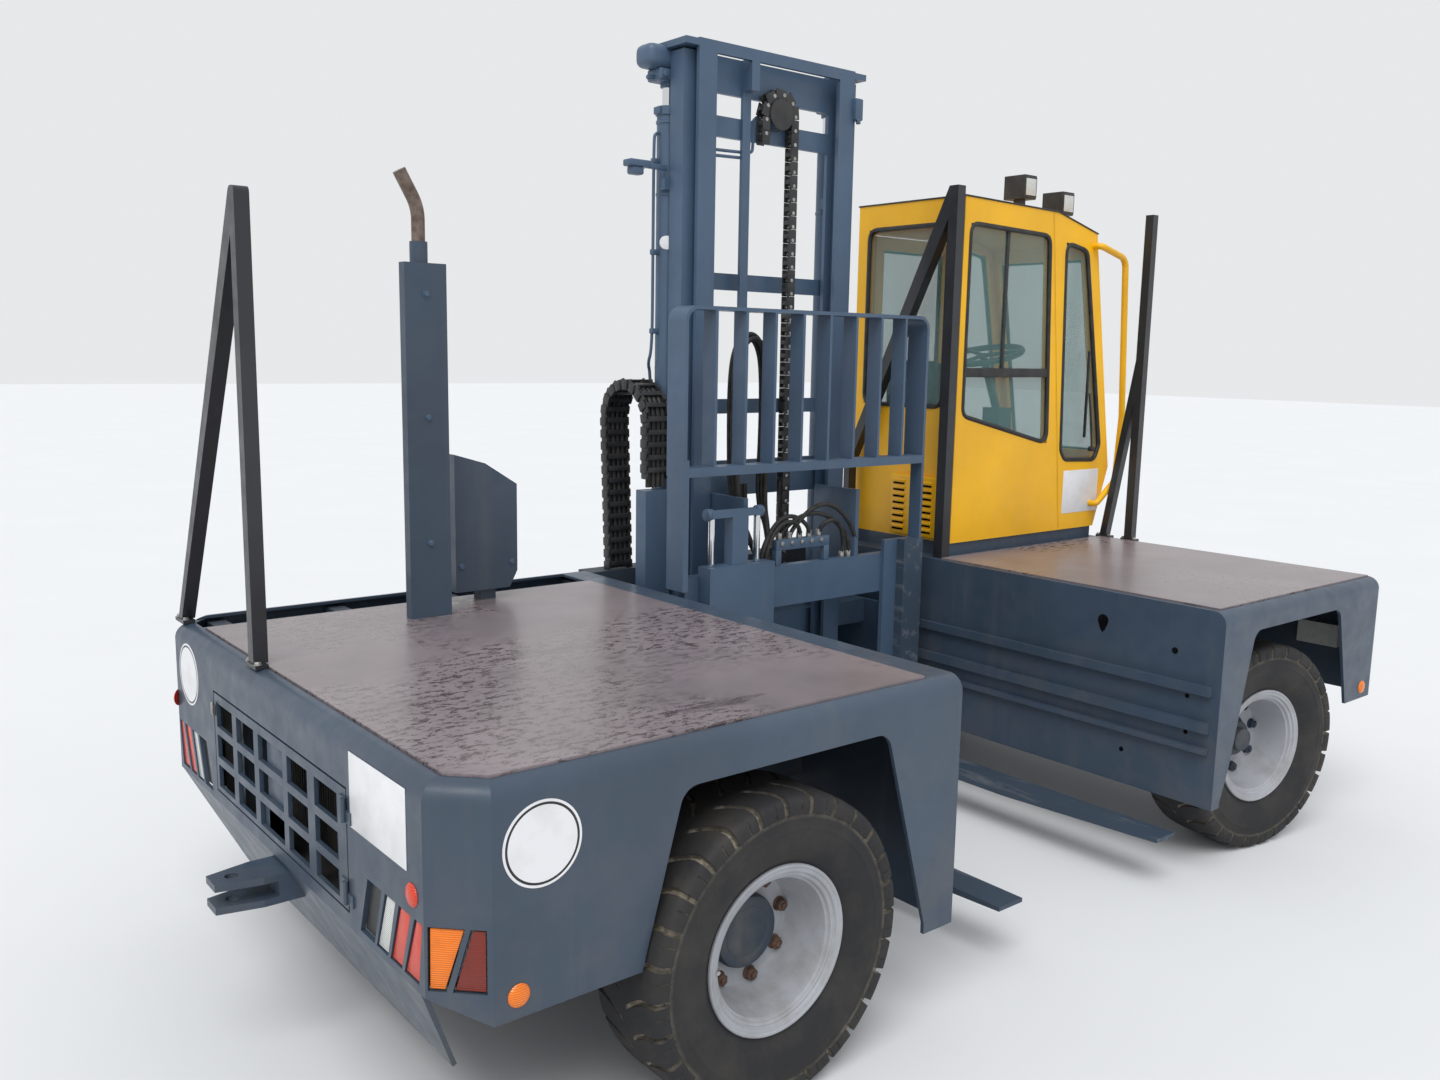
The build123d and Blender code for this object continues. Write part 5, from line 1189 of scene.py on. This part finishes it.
def pad(name, low, high, body, cap):
    """A stuffed cushion: a rounded block, blown up by cloth pressure, then smoothed.

    cap is the farthest that the pressure may push the skin.
    """
    piece = block(low, high, CUSHION_ROUNDING, 4)
    take(piece)
    remesh = piece.modifiers.new("skin", "REMESH")
    remesh.mode = "VOXEL"
    remesh.voxel_size = CUSHION_VOXEL
    bpy.ops.object.modifier_apply(modifier=remesh.name)
    rest = [vertex.co.copy() for vertex in piece.data.vertices]
    cloth = piece.modifiers.new("stuffing", "CLOTH")
    cloth.settings.use_pressure = True
    cloth.settings.uniform_pressure_force = CUSHION_PRESSURE
    cloth.settings.effector_weights.gravity = 0.0
    for step in range(1, CUSHION_FRAMES + 1):
        bpy.context.scene.frame_set(step)
    bpy.ops.object.modifier_apply(modifier=cloth.name)
    bpy.context.scene.frame_set(1)
    for vertex, start in zip(piece.data.vertices, rest):
        move = vertex.co - start
        if move.length > cap:
            vertex.co = start + move.normalized() * cap
    smooth = piece.modifiers.new("smooth", "SUBSURF")
    smooth.levels = 1
    smooth.render_levels = 1
    bpy.ops.object.modifier_apply(modifier=smooth.name)
    coat(piece, MATERIALS["cloth"])
    fit(piece, name, body, 60)
    return piece


class LOADER_OT_seat(bpy.types.Operator):
    """Makes the driver's seat from two stuffed cushions on a shell"""

    bl_idname = "loader.seat"
    bl_label = "Driver Seat"

    def execute(self, context):
        shell = [block((1.236, 0.556, 1.310), (1.566, 0.884, 1.345), 0.012, 3),
                 block((1.290, 0.610, 1.150), (1.510, 0.830, 1.312), 0.010, 2)]
        back = block((-0.020, -0.155, 0.0), (0.012, 0.155, 0.500), 0.012, 3)
        lean = Matrix.Rotation(math.radians(-3.5), 4, "Y")
        placed(back, Matrix.Translation((1.165, 0.720, 1.430)) @ lean)
        assemble(shell + [back], "plastic", "seat_shell", "chassis")
        base = pad("seat_cushion", (1.258, 0.578, 1.345), (1.545, 0.862, 1.425), "chassis", 0.016)
        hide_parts("driver_seat")
        pad("seat_back_cushion", (1.176, 0.580, 1.470), (1.226, 0.860, 1.930), "chassis", 0.014)
        return {"FINISHED"}


# Signs, lamps and reflectors

LAMP_TOP_Z = 0.716
LAMP_BOTTOM_Z = 0.568
REAR_SLOTS = (
    (0.624, 0.704, 0.574, 0.656, "hole"),
    (0.722, 0.778, 0.668, 0.731, "clear"),
    (0.796, 0.857, 0.744, 0.806, "red"),
    (0.876, 0.915, 0.819, 0.894, "red"),
)

# The same along the cut corner, from the rear face
CORNER_SLOTS = (
    (0.008, 0.092, 0.006, 0.048, "amber"),
    (0.104, 0.140, 0.062, 0.140, "dark_red"),
)


LENS_GAP = 0.004
REFLECTOR_DOME = (
    (0.0, 0.0095), (0.012, 0.0088), (0.022, 0.0062), (0.0265, 0.0030), (0.0280, 0.0), (0.0, 0.0),
)
MARKERS = ((-1.990, 0.548), (2.146, 0.568))
HEAD_LAMPS_Y = (-0.050, 0.045)
HEAD_LAMP_RADIUS = 0.038


def lens_outline(slot):
    """Reach and height of a lens's four corners in its slanted slot."""
    t0, t1, b0, b1 = slot
    low = LAMP_BOTTOM_Z + LENS_GAP
    high = LAMP_TOP_Z - LENS_GAP
    return ((b0 + LENS_GAP, low), (b1 - LENS_GAP, low), (t1 - LENS_GAP, high),
            (t0 + LENS_GAP, high))


def slanted_lens(corners, thickness, material):
    """A lens plate with the slanted outline of its slot, its front edges rounded."""
    clear_selection()
    bpy.ops.mesh.primitive_plane_add(size=1.0)
    plate = bpy.context.object
    for vertex, corner in zip(plate.data.vertices,
                              (corners[0], corners[1], corners[3], corners[2])):
        vertex.co = corner
    thicken(plate, thickness)
    bpy.ops.mesh.bevel(offset=0.0022, segments=2, affect="EDGES")
    return coat(close(plate), MATERIALS[material])


class LOADER_OT_lamps(bpy.types.Operator):
    """Makes the tail lamp lenses, reflectors, side markers and head lamps"""

    bl_idname = "loader.lamps"
    bl_label = "Lamps"

    def execute(self, context):
        for side, word in SIDES:
            self.make_lenses(side, word)
            self.make_reflector(side, word)
            self.make_markers(side, word)
            self.make_head_lamp_rings(side, word)
        return {"FINISHED"}

    def make_lenses(self, side, word):
        """The lenses of the rear face, where the wide slot stays open, and of the cut corner."""
        x = REAR_FACE_X + 0.003
        for number, (*slot, paint) in enumerate(REAR_SLOTS):
            if paint != "hole":
                outline = [(x, side * reach, z) for reach, z in lens_outline(slot)]
                lens = slanted_lens(outline, (0.008, 0, 0), paint)
                fit(lens, f"tail_lens_{number}_{word}", "chassis")
        corner = Vector((REAR_FACE_X, side * (SIDE_Y - 0.108), 0))
        run = Vector((1, side, 0)).normalized()
        inward = Vector((1, -side, 0)).normalized()
        for number, (*slot, paint) in enumerate(CORNER_SLOTS):
            outline = []
            for reach, z in lens_outline(slot):
                point = corner + run * reach + inward * 0.004
                outline.append((point.x, point.y, z))
            lens = slanted_lens(outline, tuple(inward * 0.007), paint)
            fit(lens, f"corner_lens_{number}_{word}", "chassis")

    def make_reflector(self, side, word):
        """The red reflector: on the rear face at the right, on the cut corner at the left."""
        if side < 0:
            spot, outward = (REAR_FACE_X - 0.0005, side * 0.868, 0.768), (-1, 0, 0)
        else:
            spot, outward = (REAR_FACE_X + 0.0035, side * 0.927, 0.788), (-1, side, 0)
        lens = placed(lathe("reflector", REFLECTOR_DOME, 32), facing(spot, outward))
        assemble([lens], "red", f"reflector_{word}", "chassis")

    def make_markers(self, side, word):
        """The amber markers along the side."""
        markers = []
        for x, z in MARKERS:
            place = facing((x, side * (SIDE_Y + 0.0005), z), (0, side, 0))
            markers.append(placed(lathe("marker", REFLECTOR_DOME, 32), place))
        assemble(markers, "amber", f"side_markers_{word}", "chassis")

    def make_head_lamp_rings(self, side, word):
        """The thin rings round the two head lamps."""
        r = HEAD_LAMP_RADIUS
        bezel = ((r - 0.006, 0.001), (r, 0.004), (r + 0.004, 0.004), (r + 0.006, 0.0),
                 (r - 0.008, -0.001))
        rings = []
        for reach in HEAD_LAMPS_Y:
            place = facing((FRONT_END_X + 0.001, side * 0.790 + reach, 0.750), (1, 0, 0))
            rings.append(placed(lathe("bezel", bezel, 36), place))
        assemble(rings, "plastic", f"head_lamp_rings_{word}", "chassis")


SIGN_INSET = 0.006
SIGN_RING = (0.0125, 0.0055)


def sign_disc(spot, direction, name):
    """A blank round sign: white with a thin black ring just inside its edge."""
    radius = group("trim").disc
    clear_selection()
    bpy.ops.mesh.primitive_circle_add(vertices=64, radius=radius, fill_type="NGON")
    disc = bpy.context.object
    edit(disc)
    bpy.ops.mesh.inset(thickness=SIGN_INSET)
    bpy.ops.mesh.inset(thickness=SIGN_INSET)
    close(disc)
    coat(disc, MATERIALS["sign"])
    disc.data.materials.append(MATERIALS["sign_ring"])
    for face in disc.data.polygons:
        reach = face.center.xy.length
        face.material_index = 1 if radius - SIGN_RING[0] < reach < radius - SIGN_RING[1] else 0
    thicken(disc, (0, 0, 0.0015))
    return fit(placed(close(disc), facing(spot, direction)), name, "chassis")


class LOADER_OT_signs(bpy.types.Operator):
    """Makes the blank discs, plates and stickers"""

    bl_idname = "loader.signs"
    bl_label = "Blank Signs"

    def execute(self, context):
        sign_disc((-1.928, -SIDE_Y - 0.0002, 0.884), (0, -1, 0), "disc_right")
        sign_disc((-1.928, SIDE_Y + 0.0002, 0.884), (0, 1, 0), "disc_left")
        sign_disc((REAR_FACE_X - 0.0002, 0.780, 0.898), (-1, 0, 0), "disc_rear")
        x = REAR_FACE_X
        plate = block((x - 0.002, -0.845, 0.815), (x, -0.533, 1.003), 0.0009)
        assemble([plate], "sign", "rear_plate", "chassis")
        sticker = block((1.908, CAB_RIGHT_Y - 0.0012, 1.180), (2.204, CAB_RIGHT_Y, 1.396), 0.0005)
        assemble([sticker], "sign", "cab_sticker", "chassis")
        round_mark = lathe("mark", ((0.0, 0.0035), (0.026, 0.0012), (0.029, -0.004), (0.0, -0.004)),
                           32)
        mark_spot = (MAST_MIDDLE_X - LIFT_SET - 0.028, LIFT_Y - 0.036, 2.378)
        placed(round_mark, facing(mark_spot, (-0.62, -0.78, 0)))
        assemble([round_mark], "sign", "cylinder_mark", "mast")
        return {"FINISHED"}


FINS = 40
FIN_PITCH = 0.018


class LOADER_OT_grille(bpy.types.Operator):
    """Makes the plate behind the grille's middle, its catch and the radiator's fins and shroud"""

    bl_idname = "loader.grille"
    bl_label = "Grille"

    def execute(self, context):
        x = REAR_FACE_X + 0.0125
        plate = block((x, -0.075, 0.598), (x + 0.004, 0.092, 0.880), 0.0015)
        low = block((x, -0.075, 0.598), (x + 0.0042, 0.138, 0.684), 0.0015)
        assemble([plate, low], "body", "grille_blank", "grille_door")
        catch = [block((REAR_FACE_X - 0.010, 0.513, 0.828), (REAR_FACE_X, 0.521, 0.862), 0.002),
                 bar((REAR_FACE_X - 0.008, 0.517, 0.836), (REAR_FACE_X - 0.008, 0.517, 0.872),
                     0.005, 12, 0.001)]
        assemble(catch, "zinc", "grille_catch", "grille_door")
        fins = []
        for i in range(FINS):
            low = (REAR_FACE_X + 0.128, -0.350 + i * FIN_PITCH, 0.600)
            high = (REAR_FACE_X + 0.140, low[1] + 0.004, 0.930)
            fins.append(block(low, high, 0.0008, 1))
        assemble(fins, "engine", "radiator_fins", "chassis")
        front = REAR_FACE_X + 0.030
        back = REAR_FACE_X + 0.136
        shroud = [block((front, -0.520, 0.560), (back, 0.540, 0.566), 0.002),
                  block((front, -0.524, 0.560), (back, -0.518, 0.930), 0.002),
                  block((front, 0.538, 0.560), (back, 0.544, 0.930), 0.002),
                  block((back - 0.006, -0.520, 0.560), (back, -0.350, 0.930), 0.002),
                  block((back - 0.006, 0.350, 0.560), (back, 0.540, 0.930), 0.002),
                  block((back - 0.006, -0.352, 0.560), (back, 0.352, 0.655), 0.002)]
        assemble(shroud, "engine", "radiator_shroud", "chassis")
        return {"FINISHED"}


def bolt_head():
    """A hexagon bolt head on a washer."""
    radius = group("trim").bolt
    wide = radius * 1.35
    washer = lathe("bolt", ((0.0, 0.0), (wide, 0.0), (wide, 0.0016), (radius, 0.0020),
                            (0.0, 0.0020)), 16)
    return joined([washer, hexagon(radius, 0.007, 0.0050, 0.0012, 1)])


def bolts_at(spots, name, body, paint):
    """Bolt heads at places, each with the direction that it faces."""
    found = [facing(point, direction, 0.4 * i) for i, (point, direction) in enumerate(spots)]
    return assemble([repeated(bolt_head(), found)], paint, name, body, 30)


# Y, height and radius of the holes in the wall of the mast well, each a dark disc of painted shade
WALL_HOLES = (
    (-0.837, 0.862, 0.012), (-0.900, 0.700, 0.008), (-0.905, 0.560, 0.008), (-0.640, 0.420, 0.009),
)


def pear_hole():
    """A dark pear-shaped plate on the wall of the mast well: painted shade in its pear-shaped hole."""
    x = WELL_FRONT_X - 0.0006
    pear = []
    for degrees in range(-20, 201, 20):
        a = math.radians(degrees)
        pear.append((x, -0.520 + 0.024 * math.cos(a), 0.922 + 0.024 * math.sin(a)))
    pear += [(x, -0.531, 0.885), (x, -0.520, 0.872), (x, -0.509, 0.885)]
    mesh = bpy.data.meshes.new("pear")
    mesh.from_pydata(pear, [], [list(range(len(pear)))])
    shape = added("pear", mesh)
    thicken(shape, (0.0005, 0, 0))
    return close(shape)


class LOADER_OT_bolts(bpy.types.Operator):
    """Makes the bolt heads, and dark discs painted as the shade in the frame's small holes"""

    bl_idname = "loader.bolts"
    bl_label = "Bolts and Holes"

    def execute(self, context):
        up = (0, 0, 1)
        spots = []
        for y in (0.218, 0.924):
            for step in (-0.033, 0.033):
                spots.append(((REAR_FACE_X + 0.027, y + step, DECK_Z + 0.012), up))
        for y in (0.190, 0.335):
            for step in (-0.030, 0.030):
                spots.append(((FRONT_END_X - 0.051, y + step, DECK_Z + 0.012), up))
        bolts_at(spots, "guard_bolts", "chassis", "zinc")
        spots = [((-1.4465, 0.505, z), (0, -1, 0)) for z in (1.300, 1.720, 2.120)]
        for x in (-1.262, -1.060):
            spots.append(((x, 0.650, 1.180), (0, -1, 0)))
        bolts_at(spots, "post_bolts", "chassis", "mast")
        # Dark discs stand for the small holes: painted shade inside them
        holes = []
        for y, z, r in WALL_HOLES:
            hole = lathe("hole", ((0.0, 0.0006), (r, 0.0006), (r + 0.001, 0.0), (0.0, 0.0)), 20)
            holes.append(placed(hole, facing((WELL_FRONT_X - 0.0002, y, z), (-1, 0, 0))))
        holes.append(pear_hole())
        assemble(holes, "hole", "wall_hole_shade", "chassis", 0)
        return {"FINISHED"}


# Foot, radius and height of the glands on each lift tube
GLANDS = (
    (2.868, 0.0510, 0.034), (2.836, 0.0485, 0.014), (2.560, 0.0475, 0.014),
    (1.700, 0.0475, 0.014), (1.120, 0.0475, 0.014),
)
GLAND_BORE = 0.0450
ROD_CLEVIS = (
    (0.0, 0.0), (0.030, 0.0), (0.033, 0.003), (0.033, 0.052), (0.040, 0.055), (0.040, 0.072),
    (0.0, 0.072),
)
PIPE_CLIPS_Z = (2.680, 2.330, 2.020)
CROSS_PIPES_Y = 0.692
MANIFOLD_Y = 0.435
# X where each hose loop leaves the manifold and where it ends, its top, and its Y there
HOSE_LOOPS = (
    (0.060, 0.460, 1.300, 0.425), (0.115, 0.505, 1.335, 0.420), (0.170, -0.020, 1.275, 0.415),
    (0.225, -0.045, 1.295, 0.430), (0.280, 0.420, 1.265, 0.410),
)
# Y of each hose that arches over behind the backrest, and its rise above the lowest one
HOSE_ARCHES = ((0.556, 0.000), (0.580, 0.018), (0.603, 0.006))
# X and foot of each hose that hangs below the mast's low crossbar
FOOT_HOSES = ((0.010, 0.960), (0.036, 0.950), (0.062, 0.965), (0.262, 0.955), (0.288, 0.965))
POSITIONER_RODS_X = (-0.345, -0.115)
KNUCKLES_X = (-0.356, -0.103)
CROSSBAR_Z = 1.3325
# Y, height and radius of each hose in the open slot beside the rear board
SLOT_HOSES = ((0.835, 0.985, 0.012), (0.868, 0.972, 0.014), (0.905, 0.990, 0.010))
SLOT_STRAPS_X = (-1.760, -1.240, -0.900)


def gland(r, h):
    """A gland round a lift tube, from its radius and height."""
    profile = ((GLAND_BORE, 0.0), (r - 0.002, 0.0), (r, 0.002), (r, h - 0.002), (r - 0.002, h),
               (GLAND_BORE, h))
    return lathe("ring", profile, 40)


def pipe_beside_tube(x, side):
    """The pipe beside a lift tube, with its clips and the port at its top."""
    away = x + side * 0.069
    route = [
        (x + side * 0.044, LIFT_Y, 2.800), (away - side * 0.006, LIFT_Y, 2.798),
        (away, LIFT_Y, 2.770), (away, LIFT_Y, 2.3), (away, LIFT_Y, 1.960),
        (away, LIFT_Y + 0.030, 1.900), (x + side * 0.030, LIFT_Y + 0.062, 1.860),
        (x + side * 0.010, LIFT_Y + 0.062, 1.300),
    ]
    parts = [tube("pipe", route, 0.0065)]
    for z in PIPE_CLIPS_Z:
        low, high = sorted((x + side * 0.043, away + side * 0.010))
        parts.append(block((low, LIFT_Y - 0.010, z), (high, LIFT_Y + 0.010, z + 0.022), 0.004))
    out = x + side * 0.0505
    parts.append(block((out - 0.008, LIFT_Y - 0.020, 2.8705), (out + 0.008, LIFT_Y + 0.020, 2.8985),
                       0.003))
    return parts


def dress_lift_cylinders():
    """Glands on the lift tubes, the clevis above each rod and the pipe beside each tube."""
    rings = []
    pipes = []
    clevises = []
    for side in (-1, 1):
        x = MAST_MIDDLE_X + side * LIFT_SET
        for z, r, h in GLANDS:
            rings.append(placed(gland(r, h), Matrix.Translation((x, LIFT_Y, z))))
        clevis_place = Matrix.Translation((x, LIFT_Y, 2.974))
        clevises.append(placed(lathe("clevis", ROD_CLEVIS, 36), clevis_place))
        pipes += pipe_beside_tube(x, side)
    assemble(rings, "mast", "cylinder_rings", "mast")
    assemble(pipes, "mast", "cylinder_pipes", "mast")
    assemble(clevises, "mast", "rod_clevises", "mast_inner")


def make_rod_heads():
    """The blocks on top of the lift rods, with their bolts and ports."""
    heads = []
    for side in (-1, 1):
        x = MAST_MIDDLE_X + side * LIFT_SET
        low, high = sorted((x - side * 0.045, x + side * 0.128))
        heads.append(block((low, LIFT_Y - 0.052, 3.038), (high, LIFT_Y + 0.060, 3.126), 0.030, 4))
        low, high = sorted((x - side * 0.040, x + side * 0.074))
        heads.append(block((low, LIFT_Y - 0.046, 2.992), (high, LIFT_Y + 0.046, 3.040), 0.010, 3))
        pin = x + side * 0.052
        heads.append(bar((pin, LIFT_Y - 0.060, 3.016), (pin, LIFT_Y + 0.060, 3.016), 0.012, 20,
                         0.003))
        port = ((x + side * 0.068, LIFT_Y, 3.006), (x + side * 0.104, LIFT_Y, 3.002))
        heads.append(bar(*port, 0.009, 16, 0.002))
    assemble(heads, "mast", "rod_head_blocks", "mast_inner", 30)


def dress_mast_top():
    """The work lamp's bracket, the pipes across the inner mast and the switch box."""
    bracket = [block((-0.404, LIFT_Y - 0.050, 2.652), (-0.300, LIFT_Y - 0.038, 2.674), 0.003),
               block((-0.500, LIFT_Y - 0.085, 2.650), (-0.400, LIFT_Y - 0.030, 2.676), 0.006),
               block((-0.486, LIFT_Y - 0.078, 2.620), (-0.430, LIFT_Y - 0.036, 2.652), 0.008)]
    assemble(bracket, "mast", "lamp_bracket", "mast")
    y = CROSS_PIPES_Y
    cross = []
    for drop, short in ((0.0, 0.0), (0.022, 0.020)):
        route = [(-0.150, y, 2.748 - drop), (0.030, y, 2.753 - drop),
                 (0.085 - short, y, 2.757 - drop),
                 (0.092 - short, y, 2.775), (0.092 - short, y, 2.880), (0.120, y, 2.905)]
        cross.append(tube("pipe", route, 0.0065))
    assemble(cross, "mast", "mast_cross_pipes", "mast_inner")
    box = [block((0.585, 0.600, 2.940), (0.630, 0.655, 3.030), 0.006),
           bar((0.607, 0.606, 2.925), (0.607, 0.606, 2.945), 0.010, 16, 0.002)]
    assemble(box, "mast", "switch_box", "mast")


def make_manifold():
    """The slender manifold on the carriage beam, its fittings and the hoses that loop from it."""
    y = MANIFOLD_Y
    bars = [block((0.030, 0.417, 1.152), (0.330, 0.453, 1.196), 0.004)]
    for x in (0.030, 0.300):
        bars.append(block((x, 0.417, 1.090), (x + 0.030, 0.453, 1.154), 0.003))
    manifold = assemble(bars, "mast", "hose_manifold", "carriage")
    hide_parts("carriage_hoses")
    loops = []
    ends = []
    for start, end, top, bow in HOSE_LOOPS:
        route = [(start, y, 1.200), (start, y - 0.010, 1.235), ((2 * start + end) / 3, bow, top),
                 ((start + 2 * end) / 3, bow, top - 0.015), (end, y - 0.015, 1.175), (end, y,
                                                                                      1.095)]
        loops.append(tube("hose", route, 0.0095))
        ends.append(bar((start, y, 1.194), (start, y - 0.002, 1.224), 0.0125, 6, 0.001))
        ends.append(bar((start, y, 1.180), (start, y - 0.024, 1.180), 0.0100, 6, 0.001))
        ends.append(bar((end, y, 1.088), (end, y - 0.002, 1.118), 0.0125, 6, 0.001))
    assemble(loops, "hose", "carriage_hose_loops", "carriage")
    assemble(ends, "zinc", "hose_fittings", "carriage")


def make_mast_hoses():
    """Hoses that arch over behind the backrest, and the ones below the mast's low crossbar."""
    arches = []
    for y, rise in HOSE_ARCHES:
        route = [
            (-0.010, 0.452, 1.075), (-0.040, 0.480, 1.160), (-0.068, y, 1.330), (-0.080, y, 1.650),
            (-0.078, y, 1.880 + rise), (-0.048, y, 1.985 + rise), (0.006, y, 2.015 + rise),
            (0.060, y, 1.985 + rise), (0.090, y, 1.880 + rise), (0.092, y, 1.600),
            (0.078, y, 1.330), (0.040, 0.480, 1.230), (0.020, 0.452, 1.080),
        ]
        arches.append(tube("hose", route, 0.0105))
    assemble(arches, "hose", "backrest_hose_arches", "carriage")
    hanging = []
    for x, foot in FOOT_HOSES:
        route = [(x, 0.664, 1.405), (x + 0.004, 0.662, 1.250), (x - 0.006, 0.664, 1.080),
                 (x, 0.664, foot)]
        hanging.append(tube("hose", route, 0.0110))
    assemble(hanging, "hose", "mast_foot_hoses", "mast")


def make_positioner():
    """The positioner's bright rods, its crossbar and the knuckles at the crossbar's ends."""
    rods = [bar((x, 0.375, 1.131), (x, 0.375, 1.319), 0.0135, 24, 0.002) for x in POSITIONER_RODS_X]
    assemble(rods, "chrome", "positioner_rods", "carriage")
    z = CROSSBAR_Z
    knuckles = [bar((x - 0.016, 0.380, z), (x + 0.016, 0.380, z), 0.024, 28,
                    0.004) for x in KNUCKLES_X]
    knuckles.append(bar((-0.350, 0.380, z), (-0.110, 0.380, z), 0.0165, 24, 0.002))
    assemble(knuckles, "mast", "crossbar_knuckles", "carriage")


def make_slot_hoses():
    """Hoses that lie in the open slot beside the rear board, and their straps."""
    lying = []
    for y, z, r in SLOT_HOSES:
        route = [(-2.020, y, z - 0.060), (-1.900, y, z), (-1.500, y + 0.012, z - 0.014),
                 (-1.100, y - 0.010, z - 0.008), (-0.760, y + 0.004, z), (-0.690, y, z - 0.070)]
        lying.append(tube("hose", route, r))
    assemble(lying, "hose", "slot_hoses", "chassis")
    straps = [block((x, 0.815, 0.955), (x + 0.028, 0.928, 0.961), 0.002) for x in SLOT_STRAPS_X]
    assemble(straps, "zinc", "slot_straps", "chassis")


class LOADER_OT_hydraulics(bpy.types.Operator):
    """Makes the hoses, pipes, fittings and cylinder heads"""

    bl_idname = "loader.hydraulics"
    bl_label = "Hydraulics"

    def execute(self, context):
        dress_lift_cylinders()
        make_rod_heads()
        dress_mast_top()
        make_manifold()
        make_mast_hoses()
        make_positioner()
        make_slot_hoses()
        return {"FINISHED"}


# The camera that took the photo: its lens in mm, its place and its turns in degrees
CAMERA_LENS = 30.1211
CAMERA_PLACE = (-3.21148, -3.20372, 1.94665)
CAMERA_TURNS = (81.19404, -1.00049, -38.95749)
# The wide soft lamp, in degrees
LAMP_SPREAD = 40
LAMP_TURNS = (32, -12, -28)
# What the sky gives as light, and what the camera and the reflections see of it
SKY_COLOUR = (0.93, 0.96, 1.0, 1.0)
BACKDROP_COLOUR = (0.80, 0.81, 0.82, 1.0)
FLOOR_SIZE = 120.0


class LOADER_OT_stage(bpy.types.Operator):
    """Makes the floor, the light and the camera"""

    bl_idname = "loader.stage"
    bl_label = "Stage"

    def execute(self, context):
        settings = group("stage")
        clear_selection()
        bpy.ops.mesh.primitive_plane_add(size=FLOOR_SIZE, location=(0, 0, 0))
        floor = bpy.context.object
        floor.name = "floor"
        ground = blank("pale_floor", settings.floor, 0.85, specular=0.15)
        cloud = ramp(ground, noise(ground, 0.8, 4.0), 0.3, 0.7)
        tints = shade(settings.floor, 0.985), shade(settings.floor, 1.01)
        finish_with(ground, blend(ground, cloud, *tints))
        coat(floor, ground)

        world = bpy.data.worlds.new("sky")
        context.scene.world = world
        world.use_nodes = True
        tree = world.node_tree
        back = tree.nodes["Background"]
        back.inputs["Color"].default_value = SKY_COLOUR
        back.inputs["Strength"].default_value = settings.sky
        seen = tree.nodes.new("ShaderNodeBackground")
        seen.inputs["Color"].default_value = BACKDROP_COLOUR
        path = tree.nodes.new("ShaderNodeLightPath")
        seen_by = path.outputs["Is Camera Ray"]
        for ray in ("Is Glossy Ray", "Is Transmission Ray"):
            most = tree.nodes.new("ShaderNodeMath")
            most.operation = "MAXIMUM"
            tree.links.new(seen_by, most.inputs[0])
            tree.links.new(path.outputs[ray], most.inputs[1])
            seen_by = most.outputs[0]
        either = tree.nodes.new("ShaderNodeMixShader")
        tree.links.new(seen_by, either.inputs[0])
        tree.links.new(back.outputs[0], either.inputs[1])
        tree.links.new(seen.outputs[0], either.inputs[2])
        tree.links.new(either.outputs[0], tree.nodes["World Output"].inputs["Surface"])

        lamp = bpy.data.lights.new("broad_lamp", "SUN")
        lamp.energy = settings.lamp
        lamp.angle = math.radians(LAMP_SPREAD)
        added("broad_lamp", lamp).rotation_euler = tuple(math.radians(turn) for turn in LAMP_TURNS)

        camera_data = bpy.data.cameras.new("camera")
        camera_data.sensor_width = 36.0
        camera_data.lens = CAMERA_LENS
        camera = added("camera", camera_data)
        camera.location = CAMERA_PLACE
        camera.rotation_euler = tuple(math.radians(turn) for turn in CAMERA_TURNS)
        context.scene.camera = camera
        context.scene.view_settings.view_transform = "Standard"
        return {"FINISHED"}


STEPS = (
    LOADER_OT_paint,
    LOADER_OT_stage,
    LOADER_OT_tyres,
    LOADER_OT_rims,
    LOADER_OT_hose_chain,
    LOADER_OT_lift_chain,
    LOADER_OT_hydraulics,
    LOADER_OT_cab_seals,
    LOADER_OT_cab_fittings,
    LOADER_OT_seat,
    LOADER_OT_lamps,
    LOADER_OT_signs,
    LOADER_OT_grille,
    LOADER_OT_bolts,
)
GROUPS = {"colours": LoaderColours, "wheels": LoaderWheels, "trim": LoaderTrim,
          "stage": LoaderStage}


class LOADER_PT_panel(bpy.types.Panel):
    """Lists the settings and the pieces of the side loader"""

    bl_idname = "LOADER_PT_panel"
    bl_label = "Side Loader"
    bl_space_type = "VIEW_3D"
    bl_region_type = "UI"
    bl_category = "Side Loader"

    def draw(self, context):
        for name, kind in GROUPS.items():
            box = self.layout.box()
            for setting in kind.__annotations__:
                box.prop(group(name), setting)
        for step in STEPS:
            self.layout.operator(step.bl_idname)


def register():
    """Adds the settings, the operators and the panel."""
    for kind in (*GROUPS.values(), *STEPS, LOADER_PT_panel):
        bpy.utils.register_class(kind)
    for name, kind in GROUPS.items():
        setattr(bpy.types.Scene, "loader_" + name, bpy.props.PointerProperty(type=kind))


def unregister():
    """Takes them out again."""
    for name in GROUPS:
        delattr(bpy.types.Scene, "loader_" + name)
    for kind in reversed((*GROUPS.values(), *STEPS, LOADER_PT_panel)):
        bpy.utils.unregister_class(kind)


def main():
    """Makes every piece in turn."""
    register()
    for step in STEPS:
        area, name = step.bl_idname.split(".")
        getattr(getattr(bpy.ops, area), name)()


if __name__ == "__main__":
    main()
